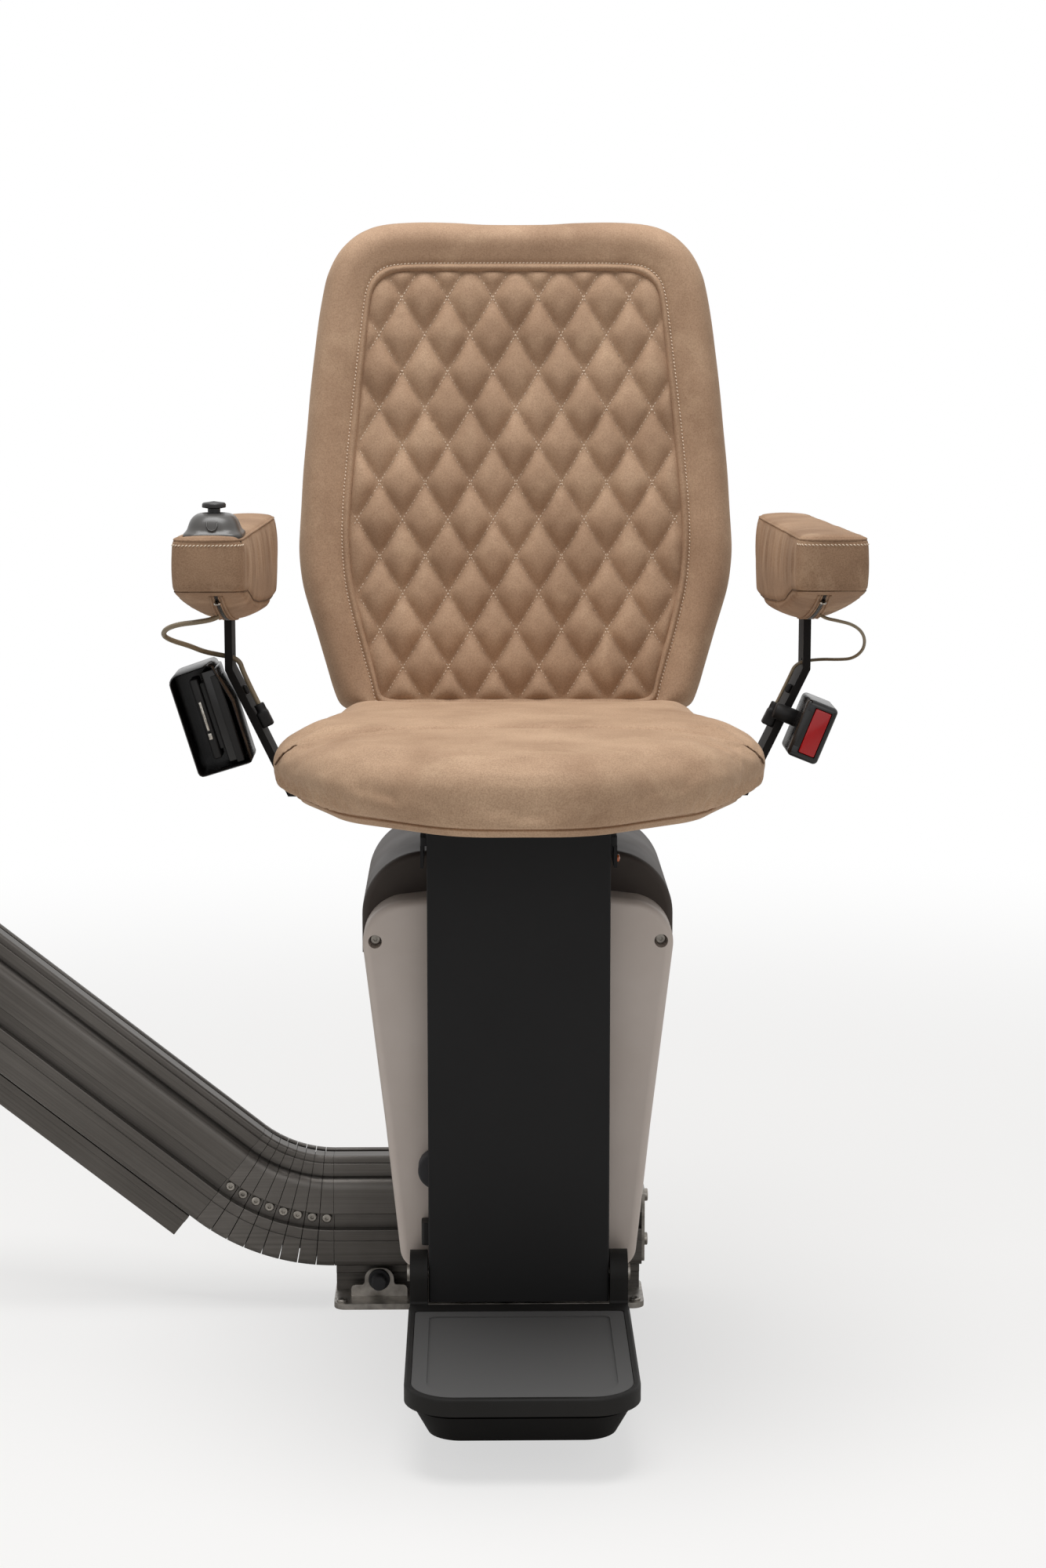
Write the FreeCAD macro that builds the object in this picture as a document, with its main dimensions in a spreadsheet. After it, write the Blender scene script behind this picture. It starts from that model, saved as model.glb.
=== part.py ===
"""Stairlift chair on the foot of its rail, in millimetres.

The chair faces -Y, +X is the viewer's right and +Z is up. The origin is on the floor, under the middle of
the chair and of the rail. The rail lies along X, bends upwards on the left and climbs away.
"""
import FreeCAD, Part
import math
import os

import Sketcher
from FreeCAD import Placement, Rotation, Vector

X_AXIS = Vector(1, 0, 0)
Y_AXIS = Vector(0, 1, 0)
Z_AXIS = Vector(0, 0, 1)

# Driving dimensions. They fill the document's spreadsheet, and everything else is worked out from them.
CELLS = {
    # section of the rail across Y and Z
    "rail_bottom": 45.5, "rail_top": 159.4, "rail_front": -33, "rail_back": 29, "ridge_front": -22,
    "ridge_back": -2, "ledge_high": 152.3, "ledge_low": 143, "strip_low": 138, "strip_face": -20,
    "groove_high": 101, "groove_low": 84.4, "groove_face": -22, "band_high": 82.5, "band_low": 72.8,
    "rack_floor": 135, "back_wall": 7, "back_high": 155, "hollow_wall": 5,
    # lower profile below the rail
    "sill_front": 12, "sill_foot": 15, "sill_line": 24, "sill_slot_low": 32, "sill_slot_high": 38,
    "sill_slot_deep": 5,
    # run of the rail
    "rail_left": -186, "rail_right": 129, "bend_high": 274, "slope": 38.5, "segments": 8, "joint_gap": 0.12,
    "incline_long": 375, "bend_screw_far": 179, "cap_thick": 4,
    # fixing to the floor
    "base_left": -187, "base_right": 132, "base_front": -34, "base_back": 44, "base_thick": 6,
    "base_corner": 12, "screw_left": -178.5, "screw_right": 123, "screw_front": -26, "screw_back": 36,
    "screw_hole": 3.3, "end_plate": 3, "end_screw_y": -10, "end_screw_low": 67, "end_screw_high": 114,
    "stop_x": -141, "stop_z": 24, "stop_face": -8,
    # drive
    "module": 3, "pinion_teeth": 14, "tooth_share": 0.36, "pitch_line": 145, "rack_teeth": 32,
    "rack_front": 4, "rack_back": 18, "shaft_radius": 5, "running_fit": 0.05, "upper_roller": 14,
    "lower_roller": 13,
    "roller_gap": 0.1, "upper_spread": 55, "lower_spread": 45,
    # carriage frame and casing
    "plate_front": -48, "plate_back": -42, "cover_front": -205, "cover_back": -167, "cover_low": 97,
    "cover_low_half": 112, "cover_mid": 240, "cover_mid_half": 127, "cover_shoulder_half": 152.5,
    "cover_shoulder": 457, "cover_high": 466, "wall": 3, "boss_half": 136, "boss_high": 423,
    "shell_top": 403.5, "dome_high": 503, "dome_half": 149.5, "dome_corner": 62, "dome_back": 40,
    "rear_low": 168,
    # column, bearing and leg panel
    "column_half": 35, "column_front": -155, "column_back": -105, "head_half": 92, "head_low": 522,
    "head_thick": 8, "turn_y": -150, "spigot": 20, "bearing": 55, "seat_base": 536.3, "panel_half": 86,
    "panel_front": -245, "sheet_metal": 3, "panel_flange": 20, "panel_low": 80, "panel_high": 535,
    # footrest
    "foot_axis_y": -229, "foot_axis_z": 104, "ear": 22, "ear_inner": 87, "ear_outer": 104, "tray_half": 105,
    "tray_front": -505, "tray_back": -250, "tray_top": 80, "tray_thick": 16, "tray_corner": 45, "pan_low": 34,
    "pan_high": 59.5,
    # seat
    "frame_low": 542.3, "leg_thick": 6, "leg_inner": 52, "leg_outer": 100, "beam_front": -205,
    "beam_back": -155, "beam_high": 569.5, "fold_y": -128, "fold_z": 592, "fold_x": 85, "seat_rear_half": 174,
    "seat_rear": -87, "seat_half": 229, "seat_wide_y": -300, "seat_front_half": 176, "seat_front_y": -424,
    "seat_nose_half": 66, "seat_nose": -512, "board_inset": 30,
    "board_low": 574, "board_high": 584, "cushion_low": 584, "cushion_high": 640, "seat_seam": -326,
    # backrest, in a frame that leans back about its lower edge
    "back_y": -80, "back_z": 635, "recline": 7.4, "back_depth": 52, "shell_depth": 12, "back_low": -7,
    "back_low_half": 172, "back_wide": 146, "back_wide_half": 213, "back_high_edge": 467,
    "back_top_half": 184, "back_corner": 72, "quilt_low": 4, "quilt_low_half": 126, "quilt_wide": 185,
    "quilt_wide_half": 162, "quilt_high": 421, "quilt_top_half": 141, "quilt_proud": 4, "diamond_wide": 44.4,
    "diamond_tall": 72, "diamond_row": 107, "channel_half": 9, "channel_deep": 5,
    # arms
    "bar_x": 271, "bar_y": -180, "bar_half": 22, "bar_thick": 7, "bar_top": 757, "bar_bend": 683,
    "bar_low_x": 214.7, "bar_low": 566, "arm_axis_z": 745, "pin_radius": 4, "cable_hole_y": -190,
    "cable_hole_left": 694, "cable_hole_right": 689, "pad_inner": 243, "pad_outer": 306,
    "pad_inner_rear": 230, "pad_outer_rear": 283, "pad_front": -383,
    "pad_back": -100, "pad_low": 773, "pad_high": 822, "keel_low": 731, "slot_half": 6,
    "slot_wide_from": -138, "slot_wide_inner": 251, "slot_roof": 771.5,
    "stick_x": -270, "stick_y": -345, "stick_z": 826, "lead_off": 6, "collar_high": 8, "clip_along": 21,
    # belt
    "reel_x": -287, "reel_y": -200, "reel_z": 640, "reel_tilt": 17, "reel_half": 26, "reel_tall": 50,
    "reel_deep": 32, "buckle_x": 272, "buckle_y": -225, "buckle_z": 630, "buckle_tilt": 22,
    "buckle_half": 15, "buckle_tall": 28, "buckle_deep": 30,
}


class Size:
    """A length that knows both its value and the spreadsheet formula that gives it."""

    def __init__(self, value, formula):
        self.value = float(value)
        self.formula = formula

    def joined(self, other, sign, value):
        return Size(value, f"({self.formula} {sign} {formula_of(other)})")

    def __add__(self, other):
        return self.joined(other, "+", self.value + value_of(other))

    def __sub__(self, other):
        return self.joined(other, "-", self.value - value_of(other))

    def __mul__(self, other):
        return self.joined(other, "*", self.value * value_of(other))

    def __truediv__(self, other):
        return self.joined(other, "/", self.value / value_of(other))

    def __radd__(self, other):
        return Size(value_of(other), formula_of(other)) + self

    def __rsub__(self, other):
        return Size(value_of(other), formula_of(other)) - self

    def __rmul__(self, other):
        return Size(value_of(other), formula_of(other)) * self

    def __neg__(self):
        return Size(-self.value, f"(0 - {self.formula})")


def value_of(size):
    return size.value if isinstance(size, Size) else float(size)


def formula_of(size):
    return size.formula if isinstance(size, Size) else f"({float(size):.6f})"


doc = FreeCAD.newDocument("stairlift_chair")
sheet = doc.addObject("Spreadsheet::Sheet", "sizes")


class Sizes:
    """The spreadsheet's cells, read by name."""


S = Sizes()
for row, (alias, number) in enumerate(CELLS.items(), start=1):
    sheet.set(f"A{row}", alias)
    sheet.set(f"B{row}", str(number))
    sheet.setAlias(f"B{row}", alias)
    setattr(S, alias, Size(number, f"sizes.{alias}"))
doc.recompute()

nodes = []


def bind(thing, path, size):
    """Ties a property to the spreadsheet when the size comes from it."""
    if isinstance(size, Size):
        thing.setExpression(path, size.formula)


def rounded(corners):
    """Lines and arcs of a closed outline. A corner is (x, y) or (x, y, radius)."""
    ends = []
    count = len(corners)
    for i, corner in enumerate(corners):
        x, y = corner[0], corner[1]
        radius = corner[2] if len(corner) > 2 else 0
        here = Vector(value_of(x), value_of(y), 0)
        before = corners[i - 1]
        after = corners[(i + 1) % count]
        back = (Vector(value_of(before[0]), value_of(before[1]), 0) - here).normalize()
        ahead = (Vector(value_of(after[0]), value_of(after[1]), 0) - here).normalize()
        if value_of(radius) == 0:
            ends.append(((x, y), (x, y), None, None))
            continue
        reach = 1 / math.tan(back.getAngle(ahead) / 2)
        start = (x + reach * back.x * radius, y + reach * back.y * radius)
        stop = (x + reach * ahead.x * radius, y + reach * ahead.y * radius)
        middle = (back + ahead).normalize()
        centre_far = value_of(radius) / math.sin(back.getAngle(ahead) / 2)
        bulge = here + middle * (centre_far - value_of(radius))
        ends.append((start, stop, radius, bulge))
    pieces = []
    for i, (start, stop, radius, bulge) in enumerate(ends):
        if radius is not None:
            pieces.append(("arc", start, stop, radius, bulge))
        pieces.append(("line", stop, ends[(i + 1) % count][0], None, None))
    return pieces


def flat(point):
    return Vector(value_of(point[0]), value_of(point[1]), 0)


def wire_of(corners):
    """The closed wire of an outline, in the XY plane."""
    edges = []
    for kind, start, stop, _, bulge in rounded(corners):
        if (flat(stop) - flat(start)).Length < 1e-6:
            continue
        if kind == "arc":
            edges.append(Part.Arc(flat(start), bulge, flat(stop)).toShape())
        else:
            edges.append(Part.LineSegment(flat(start), flat(stop)).toShape())
    return Part.Wire(edges)


def draw(sketch, corners):
    """Draws an outline whose points and radii are tied to the spreadsheet."""
    first = sketch.GeometryCount
    pieces = [p for p in rounded(corners) if (flat(p[2]) - flat(p[1])).Length > 1e-6]
    shapes = []
    turns = []
    for kind, start, stop, _, bulge in pieces:
        forward = True
        if kind == "arc":
            forward = (bulge - flat(start)).cross(flat(stop) - bulge).z > 0
            ends = (flat(start), flat(stop)) if forward else (flat(stop), flat(start))
            shapes.append(Part.Arc(ends[0], bulge, ends[1]))
        else:
            shapes.append(Part.LineSegment(flat(start), flat(stop)))
        turns.append((1, 2) if forward else (2, 1))
    sketch.addGeometry(shapes, False)
    ties = []
    for i in range(len(pieces)):
        after = (i + 1) % len(pieces)
        ties.append(Sketcher.Constraint("Coincident", first + i, turns[i][1], first + after, turns[after][0]))
    sketch.addConstraint(ties)
    for i, (kind, start, stop, radius, _) in enumerate(pieces):
        for axis, word in ((0, "DistanceX"), (1, "DistanceY")):
            rule = Sketcher.Constraint(word, -1, 1, first + i, turns[i][0], value_of(start[axis]))
            number = sketch.addConstraint(rule)
            bind(sketch, f"Constraints[{number}]", start[axis])
        if kind == "arc":
            number = sketch.addConstraint(Sketcher.Constraint("Radius", first + i, value_of(radius)))
            bind(sketch, f"Constraints[{number}]", radius)


def draw_circle(sketch, x, y, radius):
    number = sketch.addGeometry(Part.Circle(Vector(value_of(x), value_of(y), 0), Z_AXIS, value_of(radius)))
    for size, rule in (
        (x, Sketcher.Constraint("DistanceX", -1, 1, number, 3, value_of(x))),
        (y, Sketcher.Constraint("DistanceY", -1, 1, number, 3, value_of(y))),
        (radius, Sketcher.Constraint("Radius", number, value_of(radius))),
    ):
        bind(sketch, f"Constraints[{sketch.addConstraint(rule)}]", size)


def sketch_on(body, plane, offset):
    """A sketch on one of the body's own origin planes, moved along that plane's normal."""
    sketch = body.newObject("Sketcher::SketchObject", body.Name + "_outline")
    support = next(f for f in body.Origin.OriginFeatures if f.Role == plane)
    sketch.AttachmentSupport = [(support, "")]
    sketch.MapMode = "FlatFace"
    sketch.AttachmentOffset = Placement(Vector(0, 0, value_of(offset)), Rotation())
    bind(sketch, "AttachmentOffset.Base.z", offset)
    return sketch


def new_body(label, spot=None):
    body = doc.addObject("PartDesign::Body", label)
    body.Label = label
    if spot is not None:
        body.Placement = spot
    nodes.append(body)
    return body


PLANES = {"X": "YZ_Plane", "Y": "XZ_Plane", "Z": "XY_Plane"}


def add_outlines(sketch, loops):
    for loop in loops:
        if isinstance(loop, tuple):
            draw_circle(sketch, *loop)
        else:
            draw(sketch, loop)


def sweep(body, kind, axis, loops, start, end):
    """Adds a Pad or Pocket of the loops between two places along an axis."""
    offset = -end if axis == "Y" else start
    if kind == "Pocket":
        offset = -start if axis == "Y" else end
    sketch = sketch_on(body, PLANES[axis], offset)
    add_outlines(sketch, loops)
    step = body.newObject("PartDesign::" + kind, body.Name + "_" + kind.lower())
    step.Profile = sketch
    step.Length = value_of(end - start)
    bind(step, "Length", end - start)
    sketch.Visibility = False
    return step


def extruded(label, axis, loops, start, end, spot=None):
    """A body made by pushing outlines from start to end. Along Y the outline is seen from the front."""
    body = new_body(label, spot)
    sweep(body, "Pad", axis, loops, start, end)
    return body


def cut_out(body, axis, loops, start, end):
    """Cuts outlines through a body between two places, and makes sure that they cut."""
    doc.recompute()
    before = body.Shape.Volume
    step = sweep(body, "Pocket", axis, loops, start, end)
    doc.recompute()
    if not body.Shape.Volume < before - 0.01:
        raise ValueError(f"{body.Label}: the pocket cuts nothing")
    return step


def box(label, x0, x1, y0, y1, z0, z1, spot=None):
    return extruded(label, "Z", [[(x0, y0), (x1, y0), (x1, y1), (x0, y1)]], z0, z1, spot)


def turned(label, profile, spot=None):
    """A body turned about its own Z axis from (radius, height) corners."""
    body = new_body(label, spot)
    sketch = sketch_on(body, "XZ_Plane", 0)
    draw(sketch, profile)
    step = body.newObject("PartDesign::Revolution", body.Name + "_turned")
    step.Profile = sketch
    step.ReferenceAxis = (sketch, ["V_Axis"])
    step.Angle = 360
    sketch.Visibility = False
    return body


def round_edges(body, radius, wanted, kind="Fillet"):
    """Rounds or bevels the edges of a body that a test picks."""
    doc.recompute()
    shape = body.Tip.Shape
    names = [f"Edge{i + 1}" for i, edge in enumerate(shape.Edges) if wanted(edge)]
    if not names:
        raise ValueError(f"{body.Label}: no edge to round")
    base = body.Tip
    step = body.newObject("PartDesign::" + kind, body.Name + "_" + kind.lower())
    step.Base = (base, names)
    name = "Radius" if kind == "Fillet" else "Size"
    setattr(step, name, value_of(radius))
    bind(step, name, radius)
    return step


def in_plane(axis, place):
    """A test for edges that lie in the plane at a place along an axis."""
    at = value_of(place)

    def lies_in_it(edge):
        points = [vertex.Point for vertex in edge.Vertexes] + [edge.CenterOfMass]
        return all(abs(getattr(point, axis) - at) < 0.01 for point in points)

    return lies_in_it


def longer_than(length):
    """A test for whole circles that are longer than a length."""
    return lambda edge: len(edge.Vertexes) == 1 and edge.Length > length


def feature(label, shape, spot=None):
    """A piece whose shape is made directly."""
    thing = doc.addObject("Part::Feature", label)
    thing.Label = label
    thing.Shape = shape
    if spot is not None:
        thing.Placement = spot
    nodes.append(thing)
    return thing


def up_from(x, y, z):
    return Placement(Vector(value_of(x), value_of(y), value_of(z)), Rotation())


def facing(x, y, z, direction):
    """A placement whose local Z points along a direction."""
    return Placement(Vector(value_of(x), value_of(y), value_of(z)), Rotation(Z_AXIS, direction))


def solid_group(shapes):
    return Part.makeCompound(shapes)


def hexagon(radius, height):
    """The wire of a hexagon socket, across XY."""
    corners = [(radius * math.cos(math.pi / 3 * i), radius * math.sin(math.pi / 3 * i)) for i in range(7)]
    return Part.makePolygon([Vector(x, y, height) for x, y in corners])


def cap_head(radius, tall):
    """The rounded head of a socket screw, standing on the origin."""
    head = Part.makeCylinder(radius, tall)
    rim = [edge for edge in head.Edges if len(edge.Vertexes) == 1 and edge.CenterOfMass.z > tall / 2]
    head = head.makeFillet(tall * 0.3, rim)
    socket = Part.Face(hexagon(radius * 0.45, tall * 0.4)).extrude(Vector(0, 0, tall))
    return head.cut(socket)


def socket_screw(head_radius, head_tall, shank_radius, shank_long):
    """A socket screw with the underside of its head at the origin and its head along +Z."""
    shank = Part.makeCylinder(shank_radius, shank_long, Vector(0, 0, -shank_long))
    return cap_head(head_radius, head_tall).fuse(shank).removeSplitter()


def placed(shape, spot):
    moved = shape.copy()
    moved.Placement = spot
    return moved


def tube_path(points):
    """Straight runs joined by tangent arcs, each arc as large as its two runs allow."""
    corners = [Vector(*p) for p in points]
    edges = []
    here = corners[0]
    for i in range(1, len(corners) - 1):
        back = corners[i - 1] - corners[i]
        ahead = corners[i + 1] - corners[i]
        turn = math.pi - back.getAngle(ahead)
        reach = 0.45 * min(back.Length, ahead.Length)
        start = corners[i] + back.normalize() * reach
        stop = corners[i] + ahead.normalize() * reach
        radius = reach / math.tan(turn / 2)
        bisector = (back + ahead).normalize()
        bulge = corners[i] + bisector * (radius / math.cos(turn / 2) - radius)
        edges.append(Part.LineSegment(here, start).toShape())
        edges.append(Part.Arc(start, bulge, stop).toShape())
        print(f"   bend radius {radius:.1f}")
        here = stop
    edges.append(Part.LineSegment(here, corners[-1]).toShape())
    return Part.Wire(edges)


def tube(label, points, radius):
    """A round cable along a path, with its volume compared with its section times its length."""
    path = tube_path(points)
    start = path.Edges[0]
    along = start.tangentAt(start.FirstParameter)
    ring = Part.Wire(Part.makeCircle(radius, start.valueAt(start.FirstParameter), along))
    shape = path.makePipeShell([ring], True, False)
    expected = math.pi * radius ** 2 * path.Length
    print(f"{label}: {path.Length:.0f} mm long, volume {shape.Volume / expected:.4f} of section times length")
    return feature(label, shape)


def mirrored(corners):
    """Closes the right half of an outline with its mirror image on the left."""
    left = [(-corner[0],) + tuple(corner[1:]) for corner in reversed(corners)]
    return list(corners) + left


# The rail on the floor

def rail_section():
    """The rail's outline across Y and Z: ridge, ledge, bulge, groove, band, flat face and rack channel."""
    band_deep = 1.5
    return [
        (S.ridge_back, S.rail_top, 2), (S.ridge_front, S.rail_top, 3), (S.ridge_front, S.ledge_high),
        (S.ridge_front - 3, S.ledge_high, 1), (S.ridge_front - 3, S.ledge_low), (S.strip_face, S.ledge_low),
        (S.strip_face, S.strip_low), (S.rail_front, S.strip_low, 11), (S.rail_front, S.groove_high, 1.5),
        (S.groove_face, S.groove_high), (S.groove_face, S.groove_low), (S.rail_front, S.groove_low, 0.8),
        (S.rail_front, S.band_high), (S.rail_front + band_deep, S.band_high),
        (S.rail_front + band_deep, S.band_low), (S.rail_front, S.band_low),
        (S.rail_front, S.rail_bottom, 6), (S.rail_back, S.rail_bottom, 2), (S.rail_back, S.back_high, 2),
        (S.rail_back - S.back_wall, S.back_high, 2), (S.rail_back - S.back_wall, S.rack_floor),
        (S.ridge_back, S.rack_floor),
    ]


def rail_hollow():
    """The chamber inside the extruded rail."""
    front = S.groove_face + S.hollow_wall
    back = S.rail_back - S.hollow_wall
    low = S.rail_bottom + S.hollow_wall
    high = S.rack_floor - S.hollow_wall * 2
    return [(front, low, 2), (back, low, 2), (back, high, 2), (front, high, 2)]


def sill_section():
    """The lower profile's outline, with the slot along its front."""
    slot = S.sill_front + S.sill_slot_deep
    return [
        (S.rail_back, S.rail_bottom), (S.rail_back, S.base_thick), (S.sill_foot, S.base_thick),
        (S.sill_foot, S.sill_line, 1), (S.sill_front, S.sill_line, 1), (S.sill_front, S.sill_slot_low),
        (slot, S.sill_slot_low), (slot, S.sill_slot_high), (S.sill_front, S.sill_slot_high),
        (S.sill_front, S.rail_bottom),
    ]


def bend_centre():
    return Vector(S.rail_left.value, 0, S.bend_high.value)


def incline_spot():
    """Turns what is drawn on the level rail about the bend's centre, up to the slope."""
    turn = Rotation(Y_AXIS, S.slope.value)
    centre = bend_centre()
    return Placement(centre - turn.multVec(centre), turn)


def rail_on_the_level():
    extruded("rail_straight", "X", [rail_section(), rail_hollow()], S.rail_left, S.rail_right)
    extruded("foot_profile", "X", [sill_section()], S.rail_left, S.rail_right)


def rail_on_the_slope():
    spot = incline_spot()
    end = S.rail_left - S.incline_long
    extruded("rail_incline", "X", [rail_section(), rail_hollow()], end, S.rail_left, spot)
    extruded("incline_profile", "X", [sill_section()], end, S.rail_left - 2, spot)
    front = S.rail_front - 1
    back = S.rail_back + 1
    low = S.base_thick - 1
    high = S.rail_top + 1
    step = S.sill_front - 1
    shelf = S.rail_bottom - 1
    outline = [(front, shelf, 6), (step, shelf, 2), (step, low, 2), (back, low, 2), (back, high, 6),
               (front, high, 10)]
    extruded("incline_end_cap", "X", [outline], end - S.cap_thick, end, spot)


def bend_segments():
    """The bend's short pieces, each a slice of one turn about the bend's centre."""
    section = Part.Face(wire_of(rail_section()))
    section.Placement = Placement(Vector(S.rail_left.value, 0, 0), Rotation(Vector(1, 1, 1), 120))
    step = S.slope.value / S.segments.value
    slices = []
    for i in range(int(S.segments.value)):
        start = section.copy()
        start.rotate(bend_centre(), Y_AXIS, i * step + S.joint_gap.value)
        slices.append(start.revolve(bend_centre(), Y_AXIS, step - 2 * S.joint_gap.value))
    feature("bend_segments", solid_group(slices))


def bend_screws():
    """The head of a cap screw in the groove, in the middle of each piece of the bend."""
    step = S.slope.value / S.segments.value
    screws = []
    for i in range(int(S.segments.value)):
        angle = math.radians((i + 0.5) * step)
        x = S.rail_left.value - S.bend_screw_far.value * math.sin(angle)
        z = S.bend_high.value - S.bend_screw_far.value * math.cos(angle)
        screws.append(placed(cap_head(5, 5), facing(x, S.groove_face, z, -Y_AXIS)))
    return screws


def base_plate():
    corner = S.base_corner
    outline = [(S.base_left, S.base_front, corner), (S.base_right, S.base_front, corner),
               (S.base_right, S.base_back, corner), (S.base_left, S.base_back, corner)]
    rows = (S.screw_front, S.screw_back)
    holes = [(x, y, S.screw_hole) for x in (S.screw_left, S.screw_right) for y in rows]
    extruded("base_plate", "Z", [outline] + holes, 0, S.base_thick)


def anchor_screws():
    screw = socket_screw(5.5, 3.3, 3.1, S.base_thick.value - 0.5)
    spots = [up_from(x, S.screw_front, S.base_thick) for x in (S.screw_left, S.screw_right)]
    feature("anchor_screws", solid_group([placed(screw, spot) for spot in spots]))


def rail_end_plate():
    low = S.rail_bottom + 3
    high = S.end_screw_high + 10
    front = S.rail_front + 3
    back = S.rail_back - 3
    outline = [(front, low, 4), (back, low, 4), (back, high, 4), (front, high, 4)]
    holes = [(S.end_screw_y, z, 3) for z in (S.end_screw_low, S.end_screw_high)]
    extruded("rail_end_plate", "X", [outline] + holes, S.rail_right, S.rail_right + S.end_plate)
    screw = socket_screw(6.5, 4, 2.9, S.end_plate.value - 0.2)
    heads = []
    for z in (S.end_screw_low, S.end_screw_high):
        heads.append(placed(screw, facing(S.rail_right + S.end_plate, S.end_screw_y, z, X_AXIS)))
    return heads


def travel_stop():
    """The humped bracket on the base plate and the rubber buffer on its face."""
    face_thick = 3
    foot_left = S.stop_x - 29
    foot_right = S.stop_x + 29
    hump = 15
    shoulder = S.stop_z - 6
    bracket = box("stop_bracket", foot_left, foot_right, S.stop_face, S.sill_front - 0.5, S.base_thick,
                  S.base_thick + face_thick)
    outline = [
        (foot_left, S.base_thick), (foot_right, S.base_thick), (foot_right, shoulder, 5),
        (S.stop_x + hump, shoulder, 3), (S.stop_x + hump, S.stop_z + 12, 12),
        (S.stop_x - hump, S.stop_z + 12, 12), (S.stop_x - hump, shoulder, 3), (foot_left, shoulder, 5),
    ]
    sweep(bracket, "Pad", "Y", [outline], S.stop_face, S.stop_face + face_thick)
    profile = [(0, 0), (11, 0), (11, 4, 1.5), (7.75, 4), (7.75, 16, 2), (0, 16)]
    turned("stop_buffer", profile, facing(S.stop_x, S.stop_face, S.stop_z, -Y_AXIS))


def tooth_sizes():
    """Pitch, and the half widths of a tooth at its root, pitch line and tip."""
    pitch = S.module * math.pi
    middle = pitch * S.tooth_share / 2
    slant = math.tan(math.radians(20))
    return pitch, middle + S.module * 1.25 * slant, middle, middle - S.module * slant


def gear_rack():
    """The toothed bar in the rail's rear channel, with a gap between teeth at X = 0."""
    pitch, root, middle, tip = tooth_sizes()
    root_z = S.pitch_line - S.module * 1.25
    left_teeth = 18
    first = -(pitch * (left_teeth + 0.5))
    rack = box("gear_rack", S.rail_left + 6, S.rail_right - 4, S.rack_front, S.rack_back, S.rack_floor,
               root_z)
    tooth = sweep(rack, "Pad", "Y", [[
        (first - root, root_z), (first + root, root_z), (first + tip, S.pitch_line + S.module),
        (first - tip, S.pitch_line + S.module)]], S.rack_front, S.rack_back)
    row = rack.newObject("PartDesign::LinearPattern", "rack_teeth")
    row.Originals = [tooth]
    row.Direction = (tooth.Profile[0], ["H_Axis"])
    row.Length = value_of(pitch * (S.rack_teeth - 1))
    bind(row, "Length", pitch * (S.rack_teeth - 1))
    row.Occurrences = int(S.rack_teeth.value)
    rack.Tip = row


def drive_pinion():
    """The pinion and its shaft, with a tooth pointing straight down into the rack."""
    pitch, root, middle, tip = tooth_sizes()
    pitch_radius = S.module * S.pinion_teeth / 2
    root_radius = pitch_radius - S.module * 1.25
    face = S.rack_back - S.rack_front - 2
    spot = Placement(Vector(0, S.rack_front.value + 1, S.pitch_line.value + pitch_radius.value),
                     Rotation(X_AXIS, -90))
    gear = extruded("drive_pinion", "Z", [(0, 0, root_radius)], 0, face, spot)
    tooth = sweep(gear, "Pad", "Z", [[
        (-(middle * 1.3), root_radius - 1), (middle * 1.3, root_radius - 1), (middle, pitch_radius),
        (tip, pitch_radius + S.module), (-tip, pitch_radius + S.module), (-middle, pitch_radius)]], 0, face)
    ring = gear.newObject("PartDesign::PolarPattern", "pinion_teeth")
    ring.Originals = [tooth]
    ring.Axis = (tooth.Profile[0], ["N_Axis"])
    ring.Angle = 360
    ring.Occurrences = int(S.pinion_teeth.value)
    gear.Tip = ring
    sweep(gear, "Pad", "Z", [(0, 0, S.shaft_radius)], S.plate_front - S.rack_front - 27, face)


# The carriage

def roller_places():
    """Name, X, Z, radius, and the two faces of each roller along Y."""
    upper_z = S.rail_top + S.upper_roller + S.roller_gap
    lower_z = S.rail_bottom - S.lower_roller - S.roller_gap
    return [
        ("upper_roller_left", -S.upper_spread, upper_z, S.upper_roller, S.ridge_front + 2, S.ridge_back - 2),
        ("upper_roller_right", S.upper_spread, upper_z, S.upper_roller, S.ridge_front + 2, S.ridge_back - 2),
        ("lower_roller_left", -S.lower_spread, lower_z, S.lower_roller, S.rail_front + 5, S.sill_front - 20),
        ("lower_roller_right", S.lower_spread, lower_z, S.lower_roller, S.rail_front + 5, S.sill_front - 20),
    ]


def rollers_and_axles():
    axles = []
    for name, x, z, radius, front, back in roller_places():
        roller = extruded(name, "Y", [(x, z, radius), (x, z, S.shaft_radius + S.running_fit)], front, back)
        round_edges(roller, 1.5, longer_than(6 * value_of(radius)))
        head = Part.makeCylinder(8, 4)
        stem = Part.makeCylinder(S.shaft_radius.value, value_of(back - S.plate_front) + 0.3, Vector(0, 0, 4))
        collar = Part.makeCylinder(7, 2, Vector(0, 0, 4 + value_of(back - S.plate_front) + 0.3))
        axle = head.fuse([stem, collar]).removeSplitter()
        axles.append(placed(axle, facing(x, S.plate_front - 4, z, Y_AXIS)))
    feature("roller_axles", solid_group(axles))


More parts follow.
